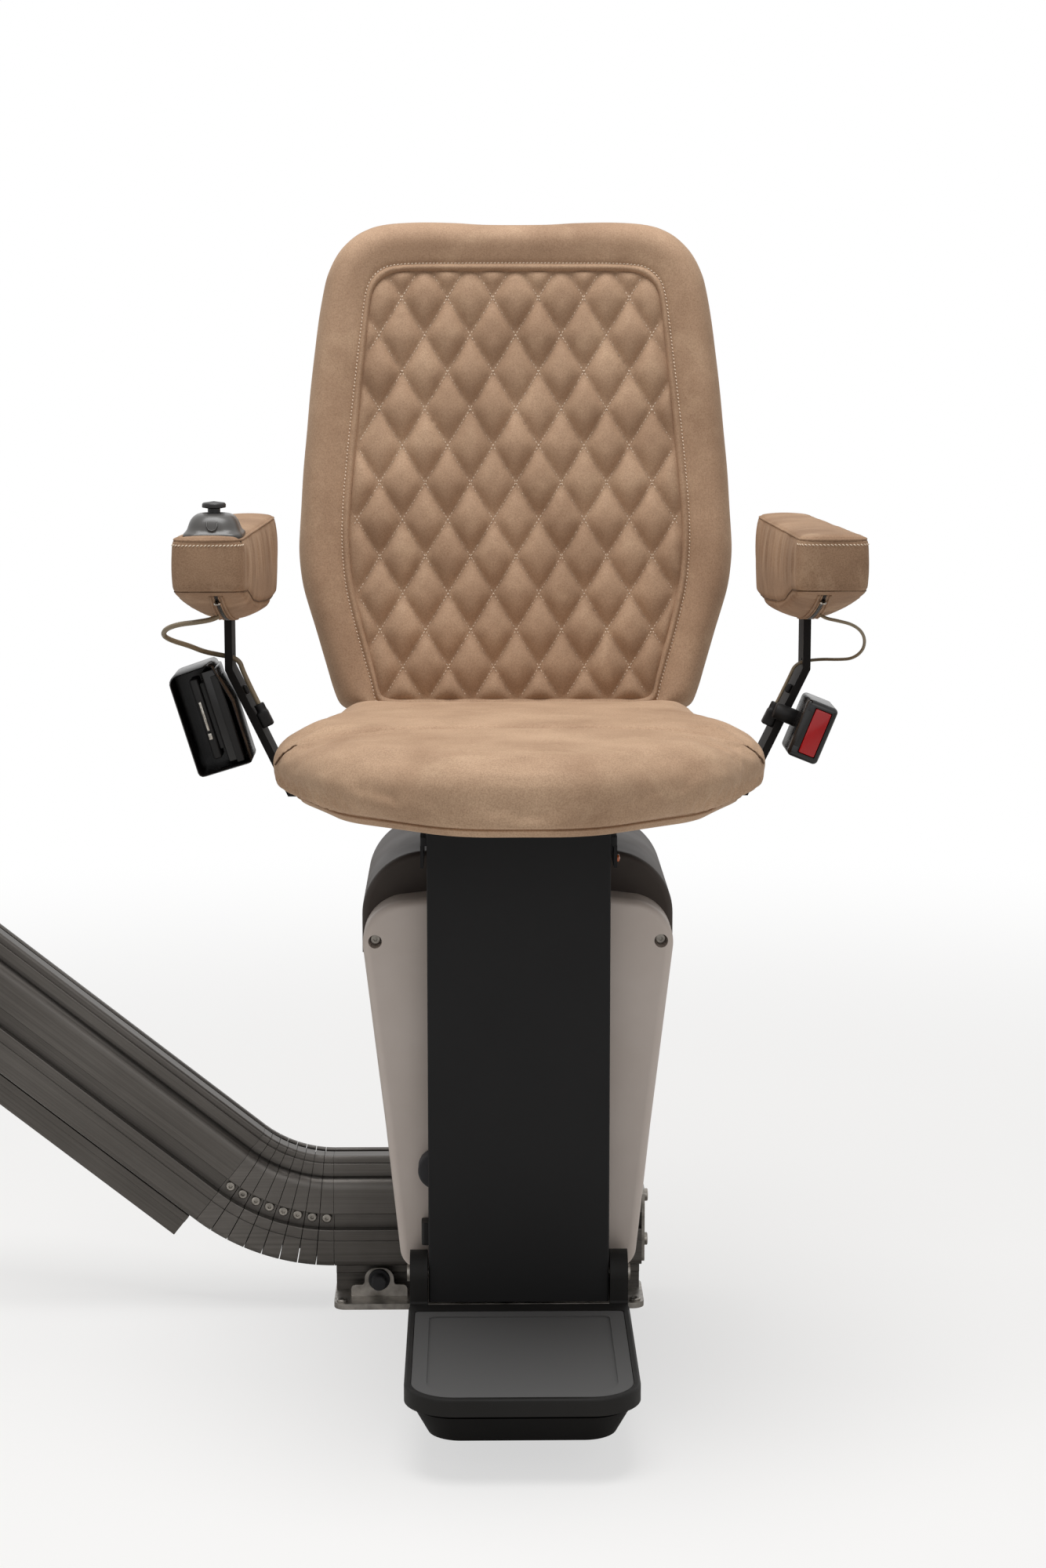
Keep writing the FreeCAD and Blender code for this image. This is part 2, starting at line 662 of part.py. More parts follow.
def carriage_frame():
    """The upright plate between casing and rail, with the shelf that carries the column."""
    foot_half = 72
    foot_low = 14
    outline = mirrored([(foot_half, foot_low, 10), (foot_half, S.cover_low + 3),
                        (S.cover_low_half - 5, S.cover_low + 3, 4), (S.cover_mid_half - 6, S.cover_mid),
                        (S.boss_half + 6, S.shell_top - 4)])
    holes = [(x, z, S.shaft_radius) for _, x, z, _, _, _ in roller_places()]
    pinion_z = S.pitch_line + S.module * S.pinion_teeth / 2
    holes.append((0, pinion_z, S.shaft_radius + 3))
    frame = extruded("carriage_frame", "Y", [outline] + holes, S.plate_front, S.plate_back)
    shelf_high = 330
    shelf = [(-45, S.column_front - 6), (45, S.column_front - 6), (45, S.plate_front), (-45, S.plate_front)]
    sweep(frame, "Pad", "Z", [shelf], shelf_high - 8, shelf_high)
    wall = 4
    half = S.column_half
    tube = [(-half, S.column_front, 5), (half, S.column_front, 5), (half, S.column_back, 5),
            (-half, S.column_back, 5)]
    inside = [(wall - half, S.column_front + wall), (half - wall, S.column_front + wall),
              (half - wall, S.column_back - wall), (wall - half, S.column_back - wall)]
    extruded("column", "Z", [tube, inside], shelf_high, S.head_low)


def drive_and_power():
    """Gearbox with its upright motor, and the two batteries beside it."""
    pinion_z = S.pitch_line + S.module * S.pinion_teeth / 2
    motor = box("gear_motor", -30, 30, S.plate_front - 52, S.plate_front, pinion_z - 28, pinion_z + 30)
    sweep(motor, "Pad", "Z", [(0, S.plate_front - 28, 26)], pinion_z + 30, pinion_z + 145)
    cut_out(motor, "Y", [(0, pinion_z, S.shaft_radius + S.running_fit)], S.plate_front - 30, S.plate_front)
    block = Part.makeBox(54, 62, 120)
    sides = [block.translated(Vector(x, S.plate_front.value - 62, 188)) for x in (-103, 49)]
    feature("battery_packs", solid_group(sides))


def cover_outline(inset):
    """The front cover seen from the front: narrow at the foot, wide at the shoulders, arched on top."""
    return mirrored([
        (S.cover_low_half - inset, S.cover_low + inset, 22), (S.cover_mid_half - inset, S.cover_mid),
        (S.cover_shoulder_half - inset, S.cover_shoulder - inset, 42),
        (S.cover_shoulder_half / 2, S.cover_high - inset, 150),
    ])


def front_cover():
    cover = extruded("front_cover", "Y", [cover_outline(0)], S.cover_front, S.cover_back)
    round_edges(cover, 8, in_plane("y", S.cover_front))
    cut_out(cover, "Y", [cover_outline(S.wall)], S.cover_front + S.wall + 1, S.cover_back)
    bosses = [(-S.boss_half, S.boss_high, 9), (S.boss_half, S.boss_high, 9)]
    sweep(cover, "Pad", "Y", bosses, S.cover_front + S.wall, S.cover_back)
    recess_floor = S.cover_front + 15
    recesses = [(-S.boss_half, S.boss_high, 6.5), (S.boss_half, S.boss_high, 6.5)]
    cut_out(cover, "Y", recesses, S.cover_front, recess_floor)
    cut_out(cover, "Y", [(x, z, 2.6) for x, z, _ in recesses], recess_floor, S.cover_back)
    screw = socket_screw(5.2, 4, 2.5, value_of(S.cover_back + 0.3 - recess_floor))
    heads = [placed(screw, facing(x, recess_floor, z, -Y_AXIS)) for x, z, _ in recesses]
    feature("cover_screws", solid_group(heads))


def casing_behind():
    """The inner shell round the drive, the rear cover and the upper housing over both."""
    step = 2
    low = S.cover_low - 4
    foot = S.cover_low_half - step
    waist = S.cover_mid_half - step
    top = S.boss_half + 10.5
    wall = S.wall
    outer = [(top, S.shell_top), (waist, S.cover_mid), (foot, low, 20)]
    inner = [(foot - wall, low + wall, 17), (waist - wall, S.cover_mid), (top - wall, S.shell_top)]
    sides = [(-x[0],) + tuple(x[1:]) for x in reversed(outer)]
    other = [(-x[0],) + tuple(x[1:]) for x in reversed(inner)]
    extruded("inner_shell", "Y", [outer + sides + other + inner], S.cover_back + 0.3, S.plate_front)

    rear = mirrored([(foot + 6, S.rear_low, 6), (waist, S.cover_mid), (top, S.shell_top)])
    cover = extruded("rear_cover", "Y", [rear], S.plate_back, S.dome_back)
    round_edges(cover, 8, in_plane("y", S.dome_back))
    hollow = mirrored([(foot + 3, S.rear_low - 5), (waist - wall, S.cover_mid),
                       (top - wall, S.shell_top - wall)])
    cut_out(cover, "Y", [hollow], S.plate_back, S.dome_back - wall - 1)

    half = S.dome_half
    floor = S.shell_top
    front = S.cover_back + 0.3
    dome = extruded("upper_housing", "Y", [mirrored([(half, floor), (half, S.dome_high, S.dome_corner)])],
                    front, S.dome_back)
    round_edges(dome, 6, in_plane("y", front))
    round_edges(dome, 8, in_plane("y", S.dome_back))
    inner_half = half - wall
    roof = S.dome_high - wall
    radius = S.dome_corner - wall
    cut_out(dome, "Y", [mirrored([(inner_half, floor), (inner_half, roof, radius)])],
            front + wall + 1, S.plate_back)
    cut_out(dome, "Y", [mirrored([(inner_half, floor + wall), (inner_half, roof, radius)])],
            S.plate_back, S.dome_back - wall - 1)
    gap = 1
    hole_half = S.column_half + gap
    hole = [(-hole_half, S.column_front - gap), (hole_half, S.column_front - gap),
            (hole_half, S.column_back + gap), (-hole_half, S.column_back + gap)]
    cut_out(dome, "Z", [hole], S.dome_high - 6, S.dome_high + 1)


def head_bracket():
    """The plate on the column, its two cheeks and the swivel's bearing ring."""
    back = S.turn_y + S.bearing + 10
    front = S.panel_front + S.sheet_metal
    half = S.head_half
    spigot_hole = (0, S.turn_y, S.spigot + S.running_fit)
    plate = extruded("head_bracket", "Z", [[(-half, front, 3), (half, front, 3), (half, back, 12),
                                            (-half, back, 12)], spigot_hole], S.head_low,
                     S.head_low + S.head_thick)
    for side in (-1, 1):
        inner = half - S.sheet_metal
        cheek = [(inner * side, front), (half * side, front), (half * side, S.cover_back - 2),
                 (inner * side, S.cover_back - 2)]
        sweep(plate, "Pad", "Z", [cheek], S.dome_high - 2, S.head_low)
    ring = [(0, S.turn_y, S.bearing), spigot_hole]
    sweep(plate, "Pad", "Z", ring, S.head_low + S.head_thick, S.seat_base - 0.3)
    turned("indicator_lens", [(0, 0), (3.5, 0), (3.5, 2, 1), (0, 3)],
           facing(half, front + 7, S.dome_high + 6, X_AXIS))


def leg_panel():
    """The folded steel channel that carries the footrest, and what stands behind it."""
    half = S.panel_half
    inner = half - S.sheet_metal
    back = S.panel_front + S.panel_flange
    sheet = S.panel_front + S.sheet_metal
    channel = [(-half, S.panel_front, 2), (half, S.panel_front, 2), (half, back), (inner, back),
               (inner, sheet), (-inner, sheet), (-inner, back), (-half, back)]
    panel = extruded("leg_panel", "Z", [channel], S.panel_low, S.panel_high)
    notch_low = S.head_low - 1
    notches = [[(inner * side - side, sheet), ((half + 1) * side, sheet), ((half + 1) * side, back + 1),
                (inner * side - side, back + 1)] for side in (-1, 1)]
    cut_out(panel, "Z", notches, notch_low, S.panel_high + 1)
    cut_out(panel, "X", [(S.foot_axis_y, S.foot_axis_z, 5)], -half - 2, half + 2)
    turned("panel_buffer", [(0, 0), (18, 0, 2), (18, 20, 2), (0, 20)],
           facing(-78, S.cover_front, 203, -Y_AXIS))
    lower = box("fold_actuator", -80, -62, back + 1, S.cover_front - 2, S.panel_low + 4, 130)
    sweep(lower, "Pad", "Z", [[(-93, back, 3), (-62, back), (-62, S.cover_front - 2),
                               (-93, S.cover_front - 2, 3)]], 130, 152)
    pins = []
    for side in (-1, 1):
        pin = Part.makeCylinder(5, value_of(S.ear_outer - inner) + 0.3)
        head = Part.makeCylinder(8, 2.5, Vector(0, 0, value_of(S.ear_outer - inner) + 0.3))
        spot = facing(inner * side, S.foot_axis_y, S.foot_axis_z, X_AXIS * side)
        pins.append(placed(pin.fuse(head).removeSplitter(), spot))
    feature("footrest_pins", solid_group(pins))


# The footrest

def rounded_box(half, front, back, front_corner, back_corner):
    return [(-half, front, front_corner), (half, front, front_corner), (half, back, back_corner),
            (-half, back, back_corner)]


def footrest():
    rim = 6
    recess = 6
    mat_floor = S.tray_top - recess
    outline = rounded_box(S.tray_half, S.tray_front, S.tray_back, S.tray_corner, 8)
    tray = extruded("footrest_tray", "Z", [outline], S.tray_top - S.tray_thick, S.tray_top)
    round_edges(tray, 2.5, in_plane("z", S.tray_top))
    ear_low = S.tray_top - S.tray_thick
    ear_high = S.foot_axis_z + S.ear
    ear_front = S.foot_axis_y - S.ear
    ear_back = S.foot_axis_y + S.ear
    for side in (-1, 1):
        ear = [
            (S.foot_axis_y - 40, ear_low), (S.foot_axis_y - 10, ear_low, 8),
            (ear_back, S.foot_axis_z - 12, 20), (ear_back, ear_high, S.ear), (ear_front, ear_high, S.ear),
            (ear_front, S.tray_top, 3), (S.foot_axis_y - 40, S.tray_top),
        ]
        low, high = sorted((S.ear_inner * side, S.ear_outer * side), key=value_of)
        sweep(tray, "Pad", "X", [ear], low, high)
    inset = rounded_box(S.tray_half - rim, S.tray_front + rim, S.tray_back - rim, S.tray_corner - rim, 4)
    mat_back = S.foot_axis_y - S.ear - 20
    inset[2] = (S.tray_half - rim, mat_back, 4)
    inset[3] = (rim - S.tray_half, mat_back, 4)
    cut_out(tray, "Z", [inset], mat_floor, S.tray_top)
    cut_out(tray, "X", [(S.foot_axis_y, S.foot_axis_z, 5.05)], -S.ear_outer - 1, S.ear_outer + 1)
    gap = 0.5
    mat_outline = rounded_box(S.tray_half - rim - gap, S.tray_front + rim + gap, mat_back - gap,
                              S.tray_corner - rim - gap, 4)
    mat = extruded("footrest_mat", "Z", [mat_outline], mat_floor, S.tray_top - 0.5)
    border = 14
    centre = rounded_box(S.tray_half - rim - border, S.tray_front + rim + border, mat_back - border,
                         S.tray_corner - rim - border, 6)
    cut_out(mat, "Z", [centre], S.tray_top - 2, S.tray_top)
    top = wire_of(rounded_box(97, S.tray_front.value + 8, S.tray_back.value - 8, 38, 10))
    bottom = wire_of(rounded_box(84, S.tray_front.value + 22, S.tray_back.value - 24, 30, 10))
    shape = Part.makeLoft([placed(top, up_from(0, 0, S.pan_high)), placed(bottom, up_from(0, 0, S.pan_low))],
                          True, True)
    feature("safety_pan", shape)


# The seat

def lean(depth, height):
    """Y and Z of a place in the backrest's leaning frame."""
    angle = math.radians(S.recline.value)
    return (S.back_y + depth * math.cos(angle) + height * math.sin(angle),
            S.back_z - depth * math.sin(angle) + height * math.cos(angle))


def lean_y(depth, z):
    """Y of the place at a depth in the leaning frame that stands z above the floor."""
    angle = math.radians(S.recline.value)
    return S.back_y + depth / math.cos(angle) + (z - S.back_z) * math.tan(angle)


def seat_frame():
    """The cross beam, the two bent legs that carry the backrest, and the ears of the seat's hinge."""
    frame = box("seat_frame", -S.leg_outer, S.leg_outer, S.beam_front, S.beam_back, S.frame_low, S.beam_high)
    near = S.back_depth + 0.001
    far = near + S.leg_thick
    leg_high = 260
    foot_high = S.frame_low + S.leg_thick
    strip = [(S.beam_back, S.frame_low), (lean_y(far, S.frame_low), S.frame_low), lean(far, leg_high),
             lean(near, leg_high), (lean_y(near, foot_high), foot_high), (S.beam_back, foot_high)]
    ear = [(S.fold_y - 12, foot_high), (S.fold_y + 12, foot_high), (S.fold_y + 10, S.fold_z + 10, 9.9),
           (S.fold_y - 10, S.fold_z + 10, 9.9)]
    for side in (-1, 1):
        low, high = sorted((S.leg_inner * side, S.leg_outer * side), key=value_of)
        sweep(frame, "Pad", "X", [strip], low, high)
        sweep(frame, "Pad", "X", [ear], S.fold_x * side - 2.5, S.fold_x * side + 2.5)
    cut_out(frame, "X", [(S.fold_y, S.fold_z, S.pin_radius)], -S.leg_outer, S.leg_outer)
    disc = S.bearing + 20
    profile = [(0, -13), (S.spigot, -13, 1), (S.spigot, 0), (disc, 0, 1), (disc, 6, 1), (0, 6)]
    turned("swivel_plate", profile, up_from(0, S.turn_y, S.seat_base))


def strip_outline(points, half):
    """A bent strip of even thickness about a centre line."""
    near = []
    far = []
    count = len(points)
    places = [Vector(value_of(x), value_of(z), 0) for x, z in points]
    for i, (x, z) in enumerate(points):
        before = places[i] - places[i - 1] if i > 0 else places[1] - places[0]
        after = places[i + 1] - places[i] if i < count - 1 else before
        across_one = Vector(-before.y, before.x, 0).normalize()
        across_two = Vector(-after.y, after.x, 0).normalize()
        across = (across_one + across_two).normalize()
        reach = 1 / across.dot(across_one)
        near.append((x + half * (across.x * reach), z + half * (across.y * reach)))
        far.append((x - half * (across.x * reach), z - half * (across.y * reach)))
    return near + far[::-1]


def arm_bars():
    """The flat bars: up from under the seat, leaning out, then upright to the pads."""
    half = S.bar_thick / 2
    line = [(S.leg_outer, S.bar_low), (S.bar_low_x, S.bar_low), (S.bar_x, S.bar_bend), (S.bar_x, S.bar_top)]
    front = S.bar_y - S.bar_half
    back = S.bar_y + S.bar_half
    bars = (("arm_bar_left", -1, S.cable_hole_left), ("arm_bar_right", 1, S.cable_hole_right))
    for name, side, hole in bars:
        outline = strip_outline([(x * side, z) for x, z in line], half)
        bar = extruded(name, "Y", [outline], front, back)
        near, far = sorted(((S.bar_x - 6) * side, (S.bar_x + 6) * side), key=value_of)
        cut_out(bar, "X", [(S.bar_y, S.arm_axis_z, S.pin_radius), (S.cable_hole_y, hole, 3.5)], near, far)


def hinge_pins():
    """The four pins that the seat cushion and the arm pads turn on."""
    pins = []
    for side in (-1, 1):
        long_pin = Part.makeCylinder(S.pin_radius.value, 19)
        pins.append(placed(long_pin, facing((S.fold_x - 9) * side, S.fold_y, S.fold_z, X_AXIS * side)))
        arm_pin = Part.makeCylinder(S.pin_radius.value, 20)
        pins.append(placed(arm_pin, facing((S.bar_x - 10) * side, S.bar_y, S.arm_axis_z, X_AXIS * side)))
    feature("hinge_pins", solid_group(pins))


def loft_of(sections):
    """A closed form through a list of wires, with flat facets from each to the next."""
    return Part.makeLoft(sections, True, True)


def seat_outline(inset):
    """The seat seen from above: narrow at the back, widest by the arms, a round nose."""
    return mirrored([
        (S.seat_rear_half - inset, S.seat_rear - inset, 18), (S.seat_half - inset, S.seat_wide_y, 80),
        (S.seat_front_half - inset * 0.85, S.seat_front_y + inset * 0.6, 110 - inset.value / 2),
        (S.seat_nose_half - inset / 2, S.seat_nose + inset, 110 - inset.value / 2),
    ])


def seat_cushion():
    """The folding board and the crowned cushion on it, open round the hinge ears."""
    board = extruded("seat_board", "Z", [seat_outline(S.board_inset)], S.board_low, S.board_high)
    slot_half = 6.5
    room = 11.5
    slot_front = S.fold_y - 14
    slots = []
    for side in (-1, 1):
        low = S.fold_x * side - slot_half
        high = S.fold_x * side + slot_half
        slots.append([(low, slot_front), (high, slot_front), (high, S.seat_rear + 1), (low, S.seat_rear + 1)])
    cut_out(board, "Z", slots, S.board_low, S.board_high)
    lug_low = S.board_high - 1
    lug = [(S.fold_y - 10, lug_low), (S.fold_y + 10, lug_low), (S.fold_y + 8, S.fold_z + 8, 7.9),
           (S.fold_y - 8, S.fold_z + 8, 7.9)]
    for side in (-1, 1):
        for near in (-9, 6.7):
            start = S.fold_x * side + near
            sweep(board, "Pad", "X", [lug], start, start + 2.3)
    cut_out(board, "X", [(S.fold_y, S.fold_z, S.pin_radius + S.running_fit)], -S.leg_outer, S.leg_outer)

    tall = value_of(S.cushion_high - S.cushion_low)
    levels = [(0, 20), (7, 9), (15, 3), (27, 0), (39, 2), (46, 7), (tall - 4.2, 18), (tall - 1.7, 36),
              (tall, 80)]
    wires = []
    for rise, inset in levels:
        wire = wire_of(seat_outline(Size(inset, "inset")))
        wires.append(placed(wire, up_from(0, 0, S.cushion_low + rise)))
    form = loft_of(wires)
    deep = S.seat_rear.value + 1 - slot_front.value
    cuts = []
    for side in (-1, 1):
        x = S.fold_x.value * side
        low = S.cushion_low.value - 1
        cuts.append(Part.makeBox(2 * slot_half, deep, 22, Vector(x - slot_half, slot_front.value, low)))
        cuts.append(Part.makeBox(2 * room, 28, 19.5, Vector(x - room, slot_front.value, low)))
    groove = Part.makePolygon([Vector(-250, y, z) for y, z in (
        (S.seat_seam.value - 5, 642), (S.seat_seam.value + 5, 642), (S.seat_seam.value, 636.5),
        (S.seat_seam.value - 5, 642))])
    cuts.append(Part.Face(groove).extrude(Vector(500, 0, 0)))
    feature("seat_cushion", form.cut(Part.makeCompound(cuts)))


def back_outline(inset):
    return mirrored([
        (S.back_low_half - inset, S.back_low + inset, 14 - inset / 2),
        (S.back_wide_half - inset, S.back_wide, 120),
        (S.back_top_half - inset, S.back_high_edge - inset, S.back_corner - inset),
    ])


def quilt_outline(inset):
    return mirrored([
        (S.quilt_low_half - inset, S.quilt_low + inset, 10), (S.quilt_wide_half - inset, S.quilt_wide, 100),
        (S.quilt_top_half - inset, S.quilt_high - inset, 32),
    ])


def diamond_channels():
    """V channels along both families of the quilt's stitch lines, in the backrest's own frame."""
    run = math.hypot(S.diamond_wide.value, S.diamond_tall.value)
    across = S.diamond_wide.value / run
    along = S.diamond_tall.value / run
    deep = S.channel_deep.value
    half = S.channel_half.value
    ridge = -S.quilt_proud.value - 1
    floor = -S.quilt_proud.value + deep
    cuts = []
    for lean_side in (-1, 1):
        direction = Vector(across * lean_side, 0, along)
        sideways = Vector(along, 0, -across * lean_side)
        for k in range(-8, 9):
            middle = Vector((k + 0.5) * S.diamond_wide.value, 0, S.diamond_row.value)
            start = middle - direction * 500
            corners = [(half, ridge), (0, floor), (-half, ridge), (half, ridge)]
            loop = Part.makePolygon([start + sideways * a + Vector(0, b, 0) for a, b in corners])
            cuts.append(Part.Face(loop).extrude(direction * 1000))
    return cuts


def backrest():
    depth = S.back_depth.value - S.shell_depth.value
    frame = Placement(Vector(0, S.back_y.value, S.back_z.value), Rotation(X_AXIS, -S.recline.value))
    shell = extruded("backrest_shell", "Y", [back_outline(3)], depth, S.back_depth, frame)
    round_edges(shell, 6, in_plane("y", S.back_depth))
    lay = Placement(Vector(), Rotation(X_AXIS, 90))

    def at_depth(outline, y):
        wire = wire_of(outline)
        wire.Placement = Placement(Vector(0, y, 0), Rotation()).multiply(lay)
        return wire

    levels = [(0, 9), (3, 4), (9, 1), (18, 0), (30, 1), (depth, 4)]
    form = loft_of([at_depth(back_outline(inset), y) for y, inset in levels])
    pocket_deep = 7
    pocket = Part.Face(at_depth(quilt_outline(-0.5), -1)).extrude(Vector(0, pocket_deep + 1, 0))
    feature("backrest_cushion", form.cut(pocket), frame)
    front = -S.quilt_proud.value
    quilt = loft_of([at_depth(quilt_outline(5), front), at_depth(quilt_outline(1.5), front + 2),
                     at_depth(quilt_outline(0), front + 5), at_depth(quilt_outline(0), pocket_deep)])
    for channel in diamond_channels():
        quilt = quilt.cut(channel)
    feature("backrest_quilt", quilt, frame)


# The arms

def pad_section(inner, outer, lows, high, keel, y):
    """A rounded frame whose sides bulge: corner arcs joined by shallow arcs, the lowest one a keel."""
    corner = 7
    crown = 2
    corners = [(inner, lows[0]), (outer, lows[1]), (outer, high), (inner, high)]
    pushes = [(0, -keel), (crown, 0), (0, crown), (-crown, 0)]
    edges = []
    for i, (x, z) in enumerate(corners):
        here = Vector(x, y, z)
        before = Vector(corners[i - 1][0], y, corners[i - 1][1])
        after = Vector(corners[(i + 1) % 4][0], y, corners[(i + 1) % 4][1])
        back = (before - here).normalize()
        ahead = (after - here).normalize()
        start = here + back * corner
        stop = here + ahead * corner
        bulge = here + (back + ahead) * (corner * (1 - math.sqrt(0.5)))
        edges.append(Part.Arc(start, bulge, stop).toShape())
        end = after - ahead * corner
        push = Vector(pushes[i][0], 0, pushes[i][1])
        edges.append(Part.Arc(stop, (stop + end) * 0.5 + push, end).toShape())
    return Part.Wire(edges)


def pad_form():
    """The right pad: narrower to the back, with an underside that drops behind its front to a keel.

    Each station gives its place from the front, how far its sides draw in, how far its inner and outer
    lower edges lie from the front's, and how far the keel bulges below them. The outer edge rises at the
    back, so that the folded pad passes the belt reel.
    """
    stations = ((0, 12, 8, 8, 0.1), (2, 6, 3, 3, 0.1), (7, 1.5, 0, 0, 0.5), (14, 0, -2, -2, 1),
                (43, 0, -11, -11, 4), (83, 0, -20, -20, 7), (128, 0, -27, -28, 9.5), (178, 0, -30, -32, 10),
                (218, 0, -31, -31, 9), (240, 0, -30, -19, 2.5), (261, 0, -30, -9, 0.8),
                (273, 1, -29, -7, 0.5), (279, 5, -25, -5, 0.3), (283, 12, -20, -1, 0.1))
    front = S.pad_front.value
    long = S.pad_back.value - front
    low = S.pad_low.value
    wires = []
    for along, inset, inner_drop, outer_drop, keel in stations:
        share = along / long
        inner = S.pad_inner.value + (S.pad_inner_rear.value - S.pad_inner.value) * share + inset
        outer = S.pad_outer.value + (S.pad_outer_rear.value - S.pad_outer.value) * share - inset
        lows = (low + inner_drop, low + outer_drop)
        high = S.pad_high.value - 2 - inset * 0.6
        wires.append(pad_section(inner, outer, lows, high, keel, front + along))
    return loft_of(wires)


def arm_pads():
    """Both pads, each slotted below so that it can fold up round its bar."""
    low = S.keel_low.value - 5
    tall = S.slot_roof.value - low
    end = S.pad_back.value + 10
    slot_front = value_of(S.bar_y - S.bar_half) - 5
    inner = value_of(S.bar_x - S.slot_half)
    outer = value_of(S.bar_x + S.slot_half)
    slot = Part.makeBox(outer - inner, end - slot_front, tall, Vector(inner, slot_front, low))
    wide_inner = S.slot_wide_inner.value
    wide_front = S.slot_wide_from.value
    room = Part.makeBox(outer - wide_inner, end - wide_front, tall, Vector(wide_inner, wide_front, low))
    bore = Part.makeCylinder(value_of(S.pin_radius + S.running_fit), 20.4,
                             Vector(S.bar_x.value - 10.2, S.bar_y.value, S.arm_axis_z.value), X_AXIS)
    right = pad_form().cut(slot.fuse([room, bore])).removeSplitter()
    feature("arm_pad_right", right)
    base = wire_of(rounded_box(26.2, -30.2, 30.2, 14, 14))
    seat = Part.Face(placed(base, up_from(S.stick_x, S.stick_y, 812))).extrude(Vector(0, 0, 20))
    feature("arm_pad_left", right.mirror(Vector(), X_AXIS).cut(seat))


def joystick():
    """The domed grey housing let into the left pad, and the stick with its knob."""
    levels = [(812, 26, 14), (823, 26, 14), (824, 24.5, 13), (831, 21, 12), (837, 17, 11), (840, 14, 10),
              (841, 11, 9)]
    wires = []
    for z, half, corner in levels:
        wires.append(placed(wire_of(rounded_box(half, -half * 1.15, half * 1.15, corner, corner)),
                            up_from(S.stick_x, S.stick_y, z)))
    well = Part.makeCylinder(9.5, 25, Vector(S.stick_x.value, S.stick_y.value, 817))
    feature("joystick_housing", loft_of(wires).cut(well))
    profile = [(0, -3), (6, -3, 1.5), (6, 3, 1.5), (5.5, 3), (5.5, 18), (10.5, 19, 0.5), (10.5, 23, 2),
               (0, 24.5)]
    turned("joystick_stick", profile, up_from(S.stick_x, S.stick_y, S.stick_z))


def bar_frame(side, along=0):
    """A frame on the slanting stretch of an arm bar: X outwards, Z up along the bar."""
    low = Vector(S.bar_low_x.value, 0, S.bar_low.value)
    high = Vector(S.bar_x.value, 0, S.bar_bend.value)
    up = (high - low).normalize()
    spot = high - up * (50 - along)
    tilt = math.degrees(math.atan2(up.x, up.z)) * side
    return Placement(Vector(spot.x * side, S.cable_hole_y.value, spot.z), Rotation(Y_AXIS, tilt))


CABLES = {"arm_cable_left": (-1, 2.35), "arm_cable_right": (1, 1.5)}


def beside_bar(side, along):
    """A place on the line that the lead follows down the bar's inner face."""
    off = S.bar_thick.value / 2 + S.lead_off.value
    return tuple(bar_frame(side, along).multVec(Vector(-side * off, 0, 0)))


def arm_cables():
    """Each lead leaves the pad's underside, loops outwards, passes through the bar and ends in the gland."""
    left = [
        (-272, -296, 743.3), (-275.5, -298, 741), (-290, -300, 738.5), (-307, -298, 736.5),
        (-320, -289, 731.5), (-324.5, -276, 724), (-318, -258, 717), (-304, -238, 710), (-294, -214, 702),
        (-284, -190, 696.4), (-262, -190, 692.4), beside_bar(-1, 40), beside_bar(-1, S.collar_high.value),
    ]
    right = [
        (272, -296, 744), (275.5, -298, 741), (289, -300, 738.5), (301.5, -296, 735), (311.5, -286, 727.5),
        (316.5, -272, 717), (316, -257, 706), (309, -240, 697), (299, -214, 693), (284, -190, 690.6),
        (262, -190, 687.6), beside_bar(1, 34), beside_bar(1, S.collar_high.value),
    ]
    for (name, (_, radius)), points in zip(CABLES.items(), (left, right)):
        tube(name, points, radius)


def cable_fittings():
    """On each bar's inner face, the gland that the lead runs down into and the clip that it lies on."""
    pieces = []
    half = S.bar_thick.value / 2
    off = S.lead_off.value
    for side, radius in CABLES.values():
        wide = off + 5
        block = Part.makeBox(wide, 12, 15, Vector(-side * (half + wide / 2) - wide / 2, -6, -15))
        middle = Vector(-side * (half + off), 0, 0)
        collar = Part.makeCylinder(5, S.collar_high.value, middle)
        pieces.append(placed(block.fuse(collar).removeSplitter(), bar_frame(side)))
        thick = off - radius - 0.05
        clip = Part.makeBox(thick, 9, 9, Vector(-side * (half + thick / 2) - thick / 2, -4.5, 0))
        pieces.append(placed(clip, bar_frame(side, S.clip_along.value)))
    feature("cable_fittings", solid_group(pieces))


# The belt

